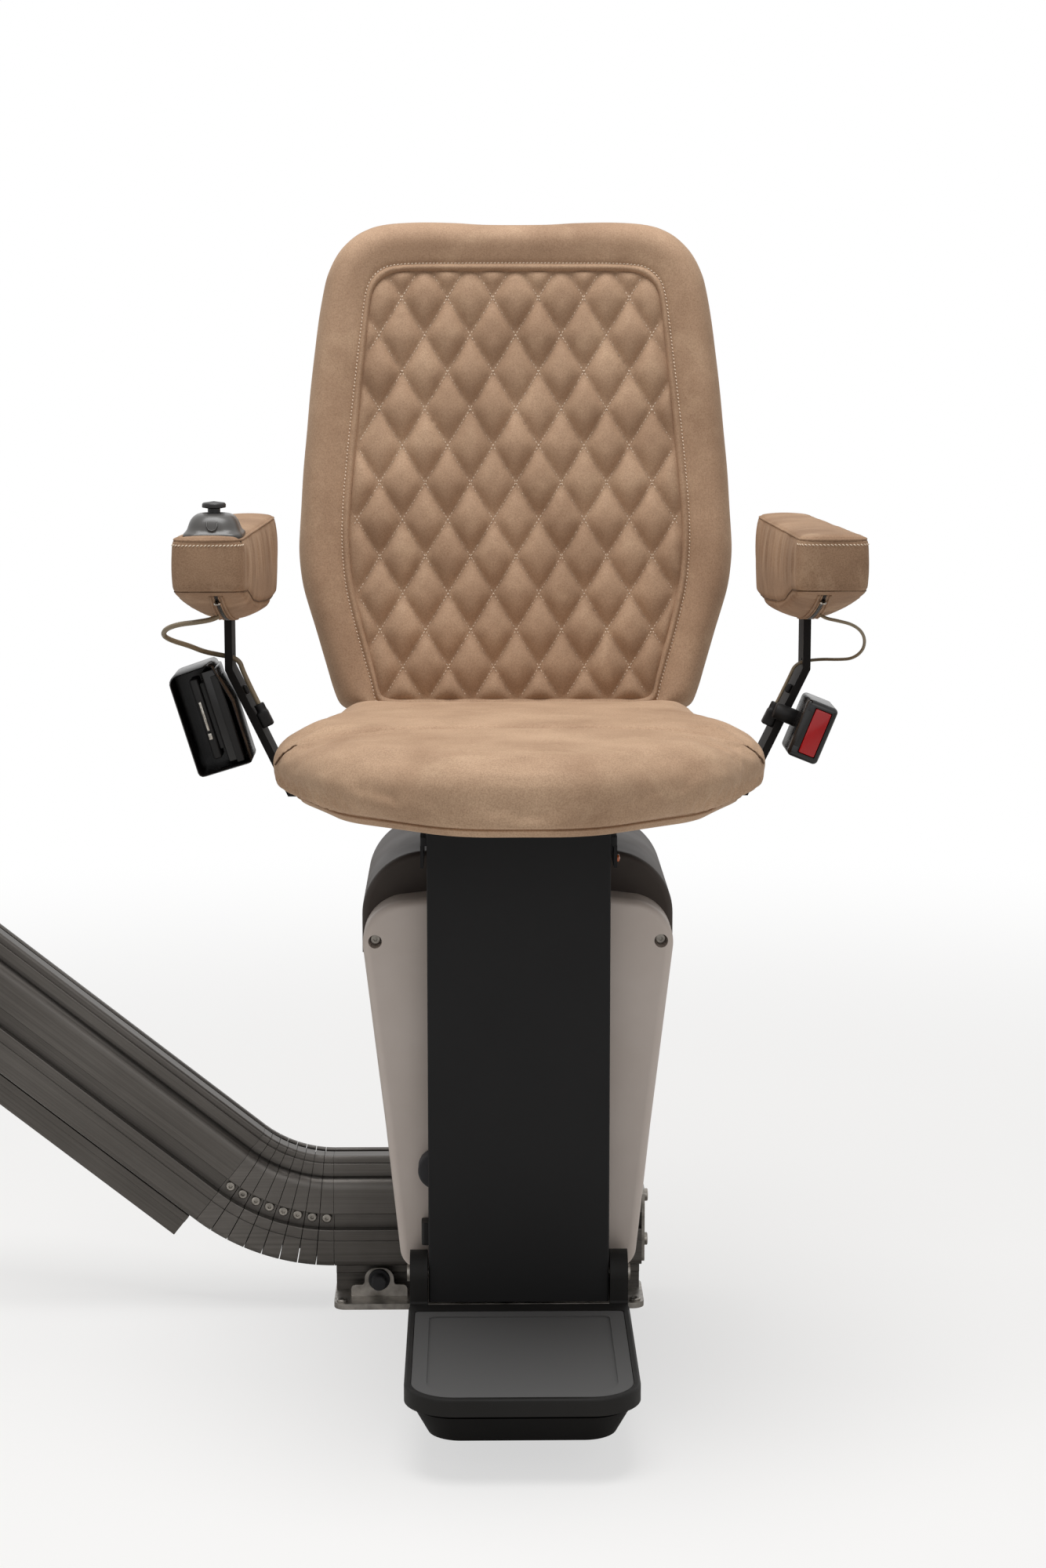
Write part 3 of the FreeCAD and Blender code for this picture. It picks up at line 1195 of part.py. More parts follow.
def belt_reel():
    """The retractor on the left bar: a curved cover open at the front, its block, webbing and tongue."""
    spot = Placement(Vector(S.reel_x.value, S.reel_y.value, S.reel_z.value),
                     Rotation(Y_AXIS, -S.reel_tilt.value))
    half = S.reel_half
    tall = S.reel_tall
    deep = S.reel_deep
    wall = 2.5
    shoulder = half - 9
    outline = [(-half, -tall, 8), (half, -tall, 2), (half, 10), (shoulder, tall, 4), (-half, tall, 12)]
    cover = extruded("belt_reel_cover", "Y", [outline], -deep, deep, spot)
    inside = [(wall - half, wall - tall, 6), (half + 1, wall - tall), (half + 1, tall - wall),
              (wall - half, tall - wall, 10)]
    cut_out(cover, "Y", [inside], -deep, deep - wall)
    block = Part.makeBox(20, 29 + value_of(deep - wall), 90, Vector(5, -29, -45))
    arm_shape = Part.makeCylinder(11, 40, Vector(24, 4, -2), X_AXIS)
    block = placed(block.fuse(arm_shape), spot)
    bar = doc.getObject("arm_bar_left")
    doc.recompute()
    beyond = Part.makeBox(60, 120, 300, Vector(-S.bar_thick.value / 2, -60, -150))
    beyond = placed(beyond, bar_frame(-1))
    feature("belt_reel_housing", block.cut(beyond).cut(bar.Shape).removeSplitter())
    box("belt_webbing", 0, 5, -24, 22, -30, 34, spot)
    tongue = box("belt_tongue", -8, 0, -28, 2, -38, 40, spot)
    sweep(tongue, "Pad", "Z", [[(-5.2, -31), (-2.8, -31), (-2.8, -20), (-5.2, -20)]], -12, 30)


def belt_buckle():
    """The buckle outside the right bar, its stalk to the bar, and the push button."""
    spot = Placement(Vector(S.buckle_x.value, S.buckle_y.value, S.buckle_z.value),
                     Rotation(Y_AXIS, S.buckle_tilt.value))
    half = S.buckle_half
    tall = S.buckle_tall
    deep = S.buckle_deep
    body = Part.makeBox(2 * half.value, 2 * deep.value, 2 * tall.value,
                        Vector(-half.value, -deep.value, -tall.value))
    body = body.makeFillet(4, body.Edges)
    pocket = Part.makeBox(16.4, 14, 44.4, Vector(-6.2, -deep.value - 1, -22.2))
    stalk = Part.makeCylinder(9, 40, Vector(-half.value - 38, 18, 2), X_AXIS)
    body = placed(body.cut(pocket).fuse(stalk), spot)
    beyond = Part.makeBox(60, 120, 300, Vector(-60 + S.bar_thick.value / 2, -90, -150))
    feature("buckle_body", body.cut(placed(beyond, bar_frame(1))).removeSplitter())
    button = box("buckle_button", -6, 10, 0.5 - deep, -20, -22, 22, spot)
    round_edges(button, 1, in_plane("y", 0.5 - deep))


def check_and_write():
    """Stops at any failed step or empty shape, then writes one file for each piece."""
    doc.recompute()
    for thing in doc.Objects:
        if "Invalid" in thing.State or "Error" in thing.State:
            raise ValueError(f"{thing.Label} failed: {thing.State}")
    os.makedirs("parts", exist_ok=True)
    for node in nodes:
        if node.Shape.isNull() or not node.Shape.isValid() or not node.Shape.Solids:
            raise ValueError(f"{node.Label} has no valid solid")
        node.Shape.exportStep(f"parts/{node.Label}.step")
    print(len(nodes), "pieces")


rail_on_the_level()
rail_on_the_slope()
bend_segments()
base_plate()
anchor_screws()
feature("rail_screws", solid_group(bend_screws() + rail_end_plate()))
travel_stop()
gear_rack()
drive_pinion()
rollers_and_axles()
carriage_frame()
drive_and_power()
front_cover()
casing_behind()
head_bracket()
leg_panel()
footrest()
seat_frame()
arm_bars()
hinge_pins()
seat_cushion()
backrest()
arm_pads()
joystick()
arm_cables()
cable_fittings()
belt_reel()
belt_buckle()
check_and_write()
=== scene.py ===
"""The dressed stairlift chair: leather, covers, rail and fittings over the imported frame.

Lengths are in metres unless a name ends in mm. +X is the viewer's right, -Y the front, +Z up.
"""
import logging
import math
from bisect import bisect_left
from collections.abc import Callable, Iterable, Sequence
from dataclasses import dataclass, field
from enum import Enum

import bmesh
import bpy
from mathutils import Matrix, Quaternion, Vector, noise
from mathutils.bvhtree import BVHTree


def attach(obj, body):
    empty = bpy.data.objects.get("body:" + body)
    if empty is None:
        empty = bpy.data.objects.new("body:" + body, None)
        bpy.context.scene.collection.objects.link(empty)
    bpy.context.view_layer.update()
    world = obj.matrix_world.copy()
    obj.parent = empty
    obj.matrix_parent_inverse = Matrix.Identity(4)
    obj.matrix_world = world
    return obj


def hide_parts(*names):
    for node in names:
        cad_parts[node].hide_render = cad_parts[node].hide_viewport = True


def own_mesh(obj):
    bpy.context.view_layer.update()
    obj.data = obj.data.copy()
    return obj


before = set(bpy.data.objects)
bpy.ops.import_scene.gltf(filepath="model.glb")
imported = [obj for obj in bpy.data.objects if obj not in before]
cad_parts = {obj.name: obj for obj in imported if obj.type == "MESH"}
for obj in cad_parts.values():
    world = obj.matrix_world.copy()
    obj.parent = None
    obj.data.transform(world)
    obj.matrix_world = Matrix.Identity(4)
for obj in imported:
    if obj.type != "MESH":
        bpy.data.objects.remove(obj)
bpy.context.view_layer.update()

MM = 0.001
log = logging.getLogger("stairlift")

Point2 = tuple[float, float]
Corner = tuple[float, float, float]


class Side(Enum):
    """The two sides of the chair, as the viewer sees them."""

    LEFT = -1
    RIGHT = 1

    @property
    def word(self) -> str:
        """The side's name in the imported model."""
        return self.name.lower()


class Ring(Enum):
    """Whether a form's first or last ring has a face across it."""

    OPEN = "open"
    CLOSED = "closed"


def linear(code: str) -> tuple[float, float, float, float]:
    """Turns an sRGB hex colour into the linear colour that the shaders take.

    Args:
        code: Six hex digits, with or without a leading hash.

    Returns:
        Red, green, blue and an alpha of 1.
    """
    parts = [int(code.lstrip("#")[i:i + 2], 16) / 255 for i in (0, 2, 4)]
    bent = [p / 12.92 if p <= 0.04045 else ((p + 0.055) / 1.055) ** 2.4 for p in parts]
    return (bent[0], bent[1], bent[2], 1.0)


def add_node(
    tree: bpy.types.NodeTree,
    kind: str,
    values: dict | None = None,
    links: dict | None = None,
    stops: Sequence[tuple[float, str]] = (),
    **settings: object,
) -> bpy.types.Node:
    """Adds a shader node with its settings, socket values and incoming links.

    Args:
        tree: The tree that gets the node.
        kind: The node's type without the ShaderNode in front.
        values: Plain values by socket name or number.
        links: Output sockets by the name or number of the input that they feed.
        stops: A colour ramp's two positions and hex colours.
        **settings: Attributes of the node itself.

    Returns:
        The new node.
    """
    made = tree.nodes.new("ShaderNode" + kind)
    for name, value in settings.items():
        setattr(made, name, value)
    for name, value in (values or {}).items():
        made.inputs[name].default_value = value
    for name, source in (links or {}).items():
        tree.links.new(source, made.inputs[name])
    for i, (position, code) in enumerate(stops):
        made.color_ramp.elements[i].position = position
        made.color_ramp.elements[i].color = linear(code)
    return made


@dataclass(frozen=True)
class Finish:
    """A surface: what it is called, its slot and the shader's plain numbers."""

    name: str
    slot: str
    colour: str
    roughness: float
    metallic: float = 0.0
    ior: float = 1.5
    mirror: float = 0.5

    def material(self) -> bpy.types.Material:
        """Makes the material once, and finds it again after that.

        Returns:
            The Blender material with this finish's name.
        """
        found = bpy.data.materials.get(self.name)
        if found:
            return found
        made = bpy.data.materials.new(self.name)
        made.use_nodes = True
        made.diffuse_color = linear(self.colour)
        shader = made.node_tree.nodes["Principled BSDF"]
        shader.inputs["Base Color"].default_value = linear(self.colour)
        shader.inputs["Roughness"].default_value = self.roughness
        shader.inputs["Metallic"].default_value = self.metallic
        if self.metallic == 0:
            shader.inputs["IOR"].default_value = self.ior
            shader.inputs["Specular IOR Level"].default_value = self.mirror
        self.pattern(made.node_tree, shader)
        return made

    def pattern(self, tree: bpy.types.NodeTree, shader: bpy.types.Node) -> None:
        """Adds the finish's own texture. A plain finish has none."""

    def place(
        self, tree: bpy.types.NodeTree, stretch: Corner = (1, 1, 1), turn_deg: float = 0
    ) -> bpy.types.NodeSocket:
        """Gives the texture's place on the piece, which moves with the piece.

        Args:
            tree: The material's tree.
            stretch: Scale of the pattern along X, Y and Z.
            turn_deg: Turn of the pattern about Y, in degrees.

        Returns:
            The socket with the coordinates.
        """
        spot = add_node(tree, "TexCoord").outputs["Object"]
        turned = add_node(tree, "Mapping", {"Rotation": (0, math.radians(turn_deg), 0)}, {"Vector": spot})
        return add_node(tree, "Mapping", {"Scale": stretch}, {"Vector": turned.outputs[0]}).outputs[0]


def mottled(
    tree: bpy.types.NodeTree, spot: bpy.types.NodeSocket, size_mm: float, dark: str, light: str,
    span: tuple[float, float] = (0.3, 0.7), detail: float = 4,
) -> bpy.types.NodeSocket:
    """Colour that drifts between two shades over patches of a real size.

    Args:
        tree: The material's tree.
        spot: The coordinates.
        size_mm: Width of a patch.
        dark: The darker shade, as hex.
        light: The lighter shade, as hex.
        span: Where in the noise the two shades stand.
        detail: Octaves of the noise.

    Returns:
        The colour socket.
    """
    cloud = add_node(tree, "TexNoise", {"Scale": 1000 / size_mm, "Detail": detail, "Roughness": 0.55},
                     {"Vector": spot})
    stops = ((span[0], dark), (span[1], light))
    return add_node(tree, "ValToRGB", links={"Fac": cloud.outputs[0]}, stops=stops).outputs[0]


@dataclass(frozen=True)
class MouldedPlastic(Finish):
    """ABS or polypropylene from a spark-eroded mould: a fine even grain that softens the highlights."""

    grain_mm: float = 0.9
    grain_deep_mm: float = 0.02
    drift: str = ""

    def pattern(self, tree: bpy.types.NodeTree, shader: bpy.types.Node) -> None:
        """Adds the mould's grain, and the slight drift of colour that handling leaves."""
        spot = self.place(tree)
        colour = mottled(tree, spot, 90, self.drift or self.colour, self.colour)
        tree.links.new(colour, shader.inputs["Base Color"])
        grain = add_node(tree, "TexNoise", {"Scale": 1000 / self.grain_mm, "Detail": 2}, {"Vector": spot})
        smudge = add_node(tree, "TexNoise", {"Scale": 1000 / 60, "Detail": 3}, {"Vector": spot})
        rough = add_node(tree, "MapRange", {"From Min": 0.3, "From Max": 0.7, "To Min": self.roughness - 0.05,
                                            "To Max": self.roughness + 0.07}, {"Value": smudge.outputs[0]})
        tree.links.new(rough.outputs[0], shader.inputs["Roughness"])
        bump = add_node(tree, "Bump", {"Strength": 0.6, "Distance": self.grain_deep_mm * MM},
                        {"Height": grain.outputs[0]})
        tree.links.new(bump.outputs[0], shader.inputs["Normal"])


@dataclass(frozen=True)
class PowderCoat(Finish):
    """Fine-texture polyester powder on steel: a sandy orange peel that scatters every reflection."""

    grain_mm: float = 0.8

    def pattern(self, tree: bpy.types.NodeTree, shader: bpy.types.Node) -> None:
        """Adds the powder's fine texture and the rubbed patches of a used part."""
        spot = self.place(tree)
        grain = add_node(tree, "TexVoronoi", {"Scale": 1000 / self.grain_mm}, {"Vector": spot})
        peel = add_node(tree, "TexNoise", {"Scale": 1000 / (4 * self.grain_mm), "Detail": 3}, {"Vector": spot})
        height = add_node(tree, "Math", {1: 0.6}, {0: grain.outputs[0], 2: peel.outputs[0]},
                          operation="MULTIPLY_ADD")
        bump = add_node(tree, "Bump", {"Strength": 0.55, "Distance": 0.04 * MM}, {"Height": height.outputs[0]})
        tree.links.new(bump.outputs[0], shader.inputs["Normal"])
        rub = add_node(tree, "TexNoise", {"Scale": 1000 / 140, "Detail": 4}, {"Vector": spot})
        rough = add_node(tree, "MapRange", {"From Min": 0.35, "From Max": 0.7, "To Min": self.roughness + 0.05,
                                            "To Max": self.roughness - 0.08}, {"Value": rub.outputs[0]})
        tree.links.new(rough.outputs[0], shader.inputs["Roughness"])


@dataclass(frozen=True)
class ExtrudedAluminium(Finish):
    """Anodised extrusion: faint die lines along its length, a dull even oxide between them."""

    turn_deg: float = 0.0
    line_mm: float = 1.6

    def pattern(self, tree: bpy.types.NodeTree, shader: bpy.types.Node) -> None:
        """Adds the die lines, drawn a little coarser than real so that they show, and clouds in the oxide."""
        spot = self.place(tree, (0.012, 1, 1), self.turn_deg)
        lines = add_node(tree, "TexNoise", {"Scale": 1000 / self.line_mm, "Detail": 3}, {"Vector": spot})
        cloud = mottled(tree, self.place(tree), 120, "5d5955", self.colour)
        shade = add_node(tree, "ValToRGB", links={"Fac": lines.outputs[0]},
                         stops=((0.25, "c8c8c8"), (0.75, "ffffff")))
        lined = add_node(tree, "Mix", {0: 0.8}, {6: cloud, 7: shade.outputs[0]}, data_type="RGBA",
                         blend_type="MULTIPLY")
        tree.links.new(lined.outputs[2], shader.inputs["Base Color"])
        rough = add_node(tree, "MapRange", {"From Min": 0.3, "From Max": 0.7, "To Min": self.roughness - 0.05,
                                            "To Max": self.roughness + 0.08}, {"Value": lines.outputs[0]})
        tree.links.new(rough.outputs[0], shader.inputs["Roughness"])
        bump = add_node(tree, "Bump", {"Strength": 0.3, "Distance": 0.02 * MM}, {"Height": lines.outputs[0]})
        tree.links.new(bump.outputs[0], shader.inputs["Normal"])


@dataclass(frozen=True)
class PlatedSteel(Finish):
    """Zinc-plated or machined steel: a soft spangle and small handling marks in the shine."""

    mark_mm: float = 3.0

    def pattern(self, tree: bpy.types.NodeTree, shader: bpy.types.Node) -> None:
        """Adds the spangle to the colour and the marks to the roughness."""
        spot = self.place(tree)
        colour = mottled(tree, spot, self.mark_mm * 3, "6e6a64", self.colour, (0.25, 0.6))
        tree.links.new(colour, shader.inputs["Base Color"])
        marks = add_node(tree, "TexNoise", {"Scale": 1000 / self.mark_mm, "Detail": 5}, {"Vector": spot})
        rough = add_node(tree, "MapRange", {"From Min": 0.3, "From Max": 0.75, "To Min": self.roughness - 0.08,
                                            "To Max": self.roughness + 0.12}, {"Value": marks.outputs[0]})
        tree.links.new(rough.outputs[0], shader.inputs["Roughness"])


@dataclass(frozen=True)
class Nubuck(Finish):
    """Buffed cowhide with a pull-up finish: velvety, clouded, with paler rubbed streaks and a fine grain."""

    streak: Corner = (1, 1, 1)
    dark: str = "9a7b62"
    light: str = "c4a488"
    rubbed: str = "d2b598"
    cell_mm: float = 1.1
    nap_mm: float = 5.0

    def pattern(self, tree: bpy.types.NodeTree, shader: bpy.types.Node) -> None:
        """Adds clouds, rubbed streaks, the nap's sheen and the hair cells.

        The cells are drawn at 1.1 mm, some three times as coarse as real ones, which would be too fine to show.
        """
        spot = self.place(tree)
        cloud = mottled(tree, spot, 75, self.dark, self.light, (0.27, 0.74), 5)
        drawn = self.place(tree, self.streak)
        warped = add_node(tree, "TexNoise", {"Scale": 14, "Detail": 2}, {"Vector": spot})
        shift = add_node(tree, "VectorMath", {"Scale": 0.05}, {0: warped.outputs[1]}, operation="SCALE")
        bent = add_node(tree, "VectorMath", links={0: drawn, 1: shift.outputs[0]}, operation="ADD")
        rub = add_node(tree, "TexNoise", {"Scale": 1000 / 38, "Detail": 5, "Roughness": 0.6},
                       {"Vector": bent.outputs[0]})
        rubbed = add_node(tree, "MapRange", {"From Min": 0.52, "From Max": 0.78, "To Min": 0, "To Max": 0.5},
                          {"Value": rub.outputs[0]})
        worn = add_node(tree, "Mix", {7: linear(self.rubbed)}, {0: rubbed.outputs[0], 6: cloud},
                        data_type="RGBA")
        speck = mottled(tree, spot, 1.3, "d4cdc6", "ffffff", (0.3, 0.62), 3)
        specked = add_node(tree, "Mix", {0: 0.75}, {6: worn.outputs[2], 7: speck}, data_type="RGBA",
                           blend_type="MULTIPLY")
        tree.links.new(specked.outputs[2], shader.inputs["Base Color"])
        cells = add_node(tree, "TexVoronoi", {"Scale": 1000 / self.cell_mm, "Randomness": 1}, {"Vector": spot})
        nap = add_node(tree, "TexNoise", {"Scale": 1000 / self.nap_mm, "Detail": 6, "Roughness": 0.65},
                       {"Vector": spot})
        height = add_node(tree, "Math", {1: 0.35}, {0: cells.outputs[0], 2: nap.outputs[0]},
                          operation="MULTIPLY_ADD")
        bump = add_node(tree, "Bump", {"Strength": 0.5, "Distance": 0.22 * MM}, {"Height": height.outputs[0]})
        tree.links.new(bump.outputs[0], shader.inputs["Normal"])
        shader.inputs["Sheen Weight"].default_value = 0.22
        shader.inputs["Sheen Roughness"].default_value = 0.45
        shader.inputs["Sheen Tint"].default_value = linear("e2cdb6")


@dataclass(frozen=True)
class Rubber(Finish):
    """Moulded rubber: near black, matt, with a bloom of dust in its pores."""

    bloom: str = "3a3a3b"

    def pattern(self, tree: bpy.types.NodeTree, shader: bpy.types.Node) -> None:
        """Adds the bloom and the pores."""
        spot = self.place(tree)
        colour = mottled(tree, spot, 25, self.colour, self.bloom, (0.45, 0.9))
        tree.links.new(colour, shader.inputs["Base Color"])
        pores = add_node(tree, "TexNoise", {"Scale": 1000 / 0.7, "Detail": 2}, {"Vector": spot})
        bump = add_node(tree, "Bump", {"Strength": 0.5, "Distance": 0.03 * MM}, {"Height": pores.outputs[0]})
        tree.links.new(bump.outputs[0], shader.inputs["Normal"])


@dataclass(frozen=True)
class Webbing(Finish):
    """Woven polyester belt: ribs across its width, 1.4 mm from rib to rib."""

    rib_mm: float = 1.4

    def pattern(self, tree: bpy.types.NodeTree, shader: bpy.types.Node) -> None:
        """Adds the ribs to the height and a little of them to the colour."""
        spot = self.place(tree)
        # A wave texture at scale 1 has a period of 1/20 of a metre.
        ribs = add_node(tree, "TexWave", {"Scale": 1000 / self.rib_mm / 20, "Distortion": 0.4},
                        {"Vector": spot}, bands_direction="Z")
        shade = add_node(tree, "ValToRGB", links={"Fac": ribs.outputs[1]}, stops=((0, "121110"), (1, "2a2724")))
        tree.links.new(shade.outputs[0], shader.inputs["Base Color"])
        bump = add_node(tree, "Bump", {"Strength": 0.7, "Distance": 0.2 * MM}, {"Height": ribs.outputs[1]})
        tree.links.new(bump.outputs[0], shader.inputs["Normal"])


@dataclass(frozen=True)
class Plywood(Finish):
    """Dark-stained birch ply: long flame figure, open at the edges."""

    def pattern(self, tree: bpy.types.NodeTree, shader: bpy.types.Node) -> None:
        """Adds the figure, drawn out along X."""
        spot = self.place(tree, (0.12, 1, 1))
        colour = mottled(tree, spot, 9, "2c1f14", self.colour, (0.3, 0.7), 6)
        tree.links.new(colour, shader.inputs["Base Color"])


@dataclass(frozen=True)
class Lens(Finish):
    """Moulded acrylic lens: clear colour with light carried below its skin."""

    def pattern(self, tree: bpy.types.NodeTree, shader: bpy.types.Node) -> None:
        """Adds the faint flow lines of the moulding."""
        spot = self.place(tree)
        tree.links.new(mottled(tree, spot, 6, "b84a0c", self.colour), shader.inputs["Base Color"])
        shader.inputs["Coat Weight"].default_value = 0.6


# Leather of seat, back and arms: cowhide, buffed on its grain side and waxed. The eye gets a soft clouded
# tan with no sharp highlight, paler in streaks where hands have rubbed it.
NUBUCK_SEAT = Nubuck("nubuck_seat", "nubuck", "b3937a", 0.78, mirror=0.3, streak=(0.35, 1.1, 1), dark="ab8c72",
                     light="cbac90")
# The back's copy is painted a little darker than the seat's, and the arms' copy darker still: painted shade for
# faces that turn away from the overhead light.
NUBUCK_BACK_SHADED = Nubuck("nubuck_back_painted_shade", "nubuck", "b0917a", 0.78, mirror=0.3, streak=(0.8, 1, 0.8), dark="a1836a",
                     light="c2a388")
NUBUCK_ARM_SHADED = Nubuck("nubuck_arm_painted_shade", "nubuck", "a2846c", 0.78, mirror=0.25, streak=(1, 1.4, 0.3), dark="8a6d56",
                    light="b19277")
# The same leather, painted dark brown as painted shade for the inside of a seam, where little light gets in.
NUBUCK_SEAM_SHADE = Nubuck("nubuck_painted_seam_shade", "nubuck", "5d4736", 0.85, mirror=0.15, dark="4f3b2c", light="6b523f")
# Bonded polyester thread: smooth and pale, so that each stitch stands out from the leather.
THREAD = MouldedPlastic("thread_polyester", "nubuck", "ecdcc8", 0.6, grain_mm=0.4, drift="dcc8b2")
# Covers: ABS from a fine spark-eroded mould. Highlights spread wide, and the cover's warm grey looks even and
# dry.
COVER_ABS = MouldedPlastic("cover_abs_warm_grey", "light_cover", "d6cbc4", 0.42, drift="cdc1b9", grain_mm=1.1)
# Housing under the seat: the covers' pale ABS, painted dark warm grey as painted shadow for the seat's shadow
# that falls on it.
HOUSING_ABS_SEAT_SHADOW = MouldedPlastic("housing_abs_painted_seat_shadow", "light_cover", "4a423d", 0.5, mirror=0.25, drift="403834",
                             grain_mm=1.1)
# Rail: aluminium, extruded and anodised. Die lines run along it and stretch each highlight lengthwise.
RAIL = ExtrudedAluminium("rail_anodised_level", "rail_aluminium", "75716d", 0.4, 0.8)
# The incline's copy is painted darker than the level rail's, as painted shade on its sloping faces.
RAIL_SLOPE_SHADED = ExtrudedAluminium("rail_anodised_slope_painted_shade", "rail_aluminium", "686460", 0.4, 0.8, turn_deg=-38.5)
# Panel, frame and bars: polyester powder baked on steel. Its sandy skin leaves a faint grey sheen on black.
POWDER = PowderCoat("powder_coat_charcoal", "black_steel", "252526", 0.6, mirror=0.15)
BAR_POWDER = PowderCoat("powder_coat_graphite", "black_steel", "131110", 0.6, mirror=0.15)
# Screws, plates and zip: steel, zinc-plated or machined. A cool shine, broken up by spangle and handling marks.
ZINC = PlatedSteel("zinc_plated_steel", "zinc_steel", "a39e97", 0.36, 1.0)
PLATE_STEEL = PlatedSteel("base_plate_steel", "zinc_steel", "b2ada7", 0.4, 1.0, mark_mm=6)
RACK = PlatedSteel("rack_machined_steel", "rack_steel", "77746f", 0.38, 1.0, mark_mm=2)
NICKEL = PlatedSteel("zip_nickel", "zinc_steel", "c2bdb4", 0.25, 1.0, mark_mm=1)
# Small black fittings: polypropylene straight from the mould, near black with a broad dull highlight.
BLACK_PP = MouldedPlastic("black_polypropylene", "black_plastic", "171616", 0.5, mirror=0.3, drift="111010")
STONE = MouldedPlastic("battery_case", "black_plastic", "24262a", 0.5, drift="1d1f22")
# Reel and buckle: ABS from a polished mould, black with a tight bright highlight along each edge.
GLOSS_BLACK = MouldedPlastic("black_polished_abs", "black_plastic", "131111", 0.24, drift="0e0d0d",
                             grain_deep_mm=0.004)
# Stick and knob: soft-touch lacquer over ABS, a velvety black with a blurred highlight.
STEM_BLACK = MouldedPlastic("black_soft_touch", "black_plastic", "1d1a19", 0.42, drift="171514")
# Rollers: cast and turned nylon, waxy and off-white.
NYLON = MouldedPlastic("cast_nylon", "roller_nylon", "b5b0a4", 0.45, drift="a7a296")
# Footrest and its pan: polypropylene with a coarse spark-eroded grain, which keeps the black dry and flat.
TRAY_PP = MouldedPlastic("footrest_polypropylene", "dark_plastic", "1f1e1d", 0.55, mirror=0.18, drift="1a1918",
                         grain_deep_mm=0.05)
PAN_PP = MouldedPlastic("pan_polypropylene", "dark_plastic", "100f0e", 0.6, mirror=0.12, drift="0c0b0b",
                        grain_deep_mm=0.05)
# Mat and buffers: moulded rubber, matt black with a grey bloom of dust.
MAT_RUBBER = Rubber("mat_rubber", "mat_rubber", "161514", 0.92, mirror=0.05, bloom="1d1c1a")
BUFFER = Rubber("buffer_rubber", "buffer_rubber", "23262b", 0.5, bloom="343a42")
# Indicator: moulded acrylic, a wet-looking orange.
LENS = Lens("orange_acrylic", "orange_lens", "ef7a16", 0.18)
# Joystick's bell: ABS with a satin lacquer, mid grey with one soft highlight.
DOME_GREY = MouldedPlastic("joystick_satin_grey", "grey_housing", "514f4d", 0.32, drift="464442",
                           grain_deep_mm=0.006)
# Buckle's button: red ABS from a polished mould, bright and glossy.
RED = MouldedPlastic("red_gloss_abs", "red_plastic", "c00a12", 0.16, drift="b00810", grain_deep_mm=0.003)
# Seat board: birch ply, stained dark and left open-pored, with a streaky brown figure.
PLY = Plywood("stained_ply", "seat_ply", "4a3424", 0.6)
# Arm leads: extruded PVC sheath, beige and slightly slick.
SHEATH = MouldedPlastic("beige_pvc_sheath", "cable_sheath", "8e8069", 0.42, drift="82745e")
# Belt: woven polyester, black with a ribbed, dull shine.
WEBBING = Webbing("belt_webbing", "belt_webbing", "1c1a18", 0.7)

CARRIED_OVER: dict[str, Finish] = {
    "base_plate": PLATE_STEEL, "anchor_screws": ZINC, "foot_profile": RAIL, "rail_straight": RAIL,
    "bend_segments": RAIL, "rail_screws": ZINC, "rail_incline": RAIL_SLOPE_SHADED, "incline_profile": RAIL_SLOPE_SHADED,
    "incline_end_cap": BLACK_PP, "rail_end_plate": ZINC, "stop_bracket": PLATE_STEEL, "stop_buffer": BUFFER,
    "gear_rack": RACK, "drive_pinion": RACK, "carriage_frame": POWDER, "roller_axles": ZINC,
    "gear_motor": BLACK_PP, "battery_packs": STONE, "front_cover": COVER_ABS, "inner_shell": HOUSING_ABS_SEAT_SHADOW,
    "rear_cover": COVER_ABS, "upper_housing": HOUSING_ABS_SEAT_SHADOW, "cover_screws": ZINC, "indicator_lens": LENS,
    "panel_buffer": BUFFER, "column": POWDER, "head_bracket": POWDER, "leg_panel": POWDER,
    "fold_actuator": BLACK_PP, "footrest_pins": ZINC, "upper_roller_left": NYLON, "upper_roller_right": NYLON,
    "lower_roller_left": NYLON, "lower_roller_right": NYLON, "footrest_tray": TRAY_PP,
    "footrest_mat": MAT_RUBBER, "safety_pan": PAN_PP, "swivel_plate": RACK, "seat_frame": POWDER,
    "arm_bar_left": BAR_POWDER, "arm_bar_right": BAR_POWDER, "hinge_pins": ZINC, "backrest_shell": BLACK_PP,
    "seat_board": PLY, "joystick_stick": STEM_BLACK,
}


def placed(name: str, data: bpy.types.ID) -> bpy.types.Object:
    """Makes an object and links it to the scene.

    Args:
        name: The object's name.
        data: Its mesh, curve, camera or light.

    Returns:
        The object.
    """
    made = bpy.data.objects.new(name, data)
    bpy.context.scene.collection.objects.link(made)
    return made


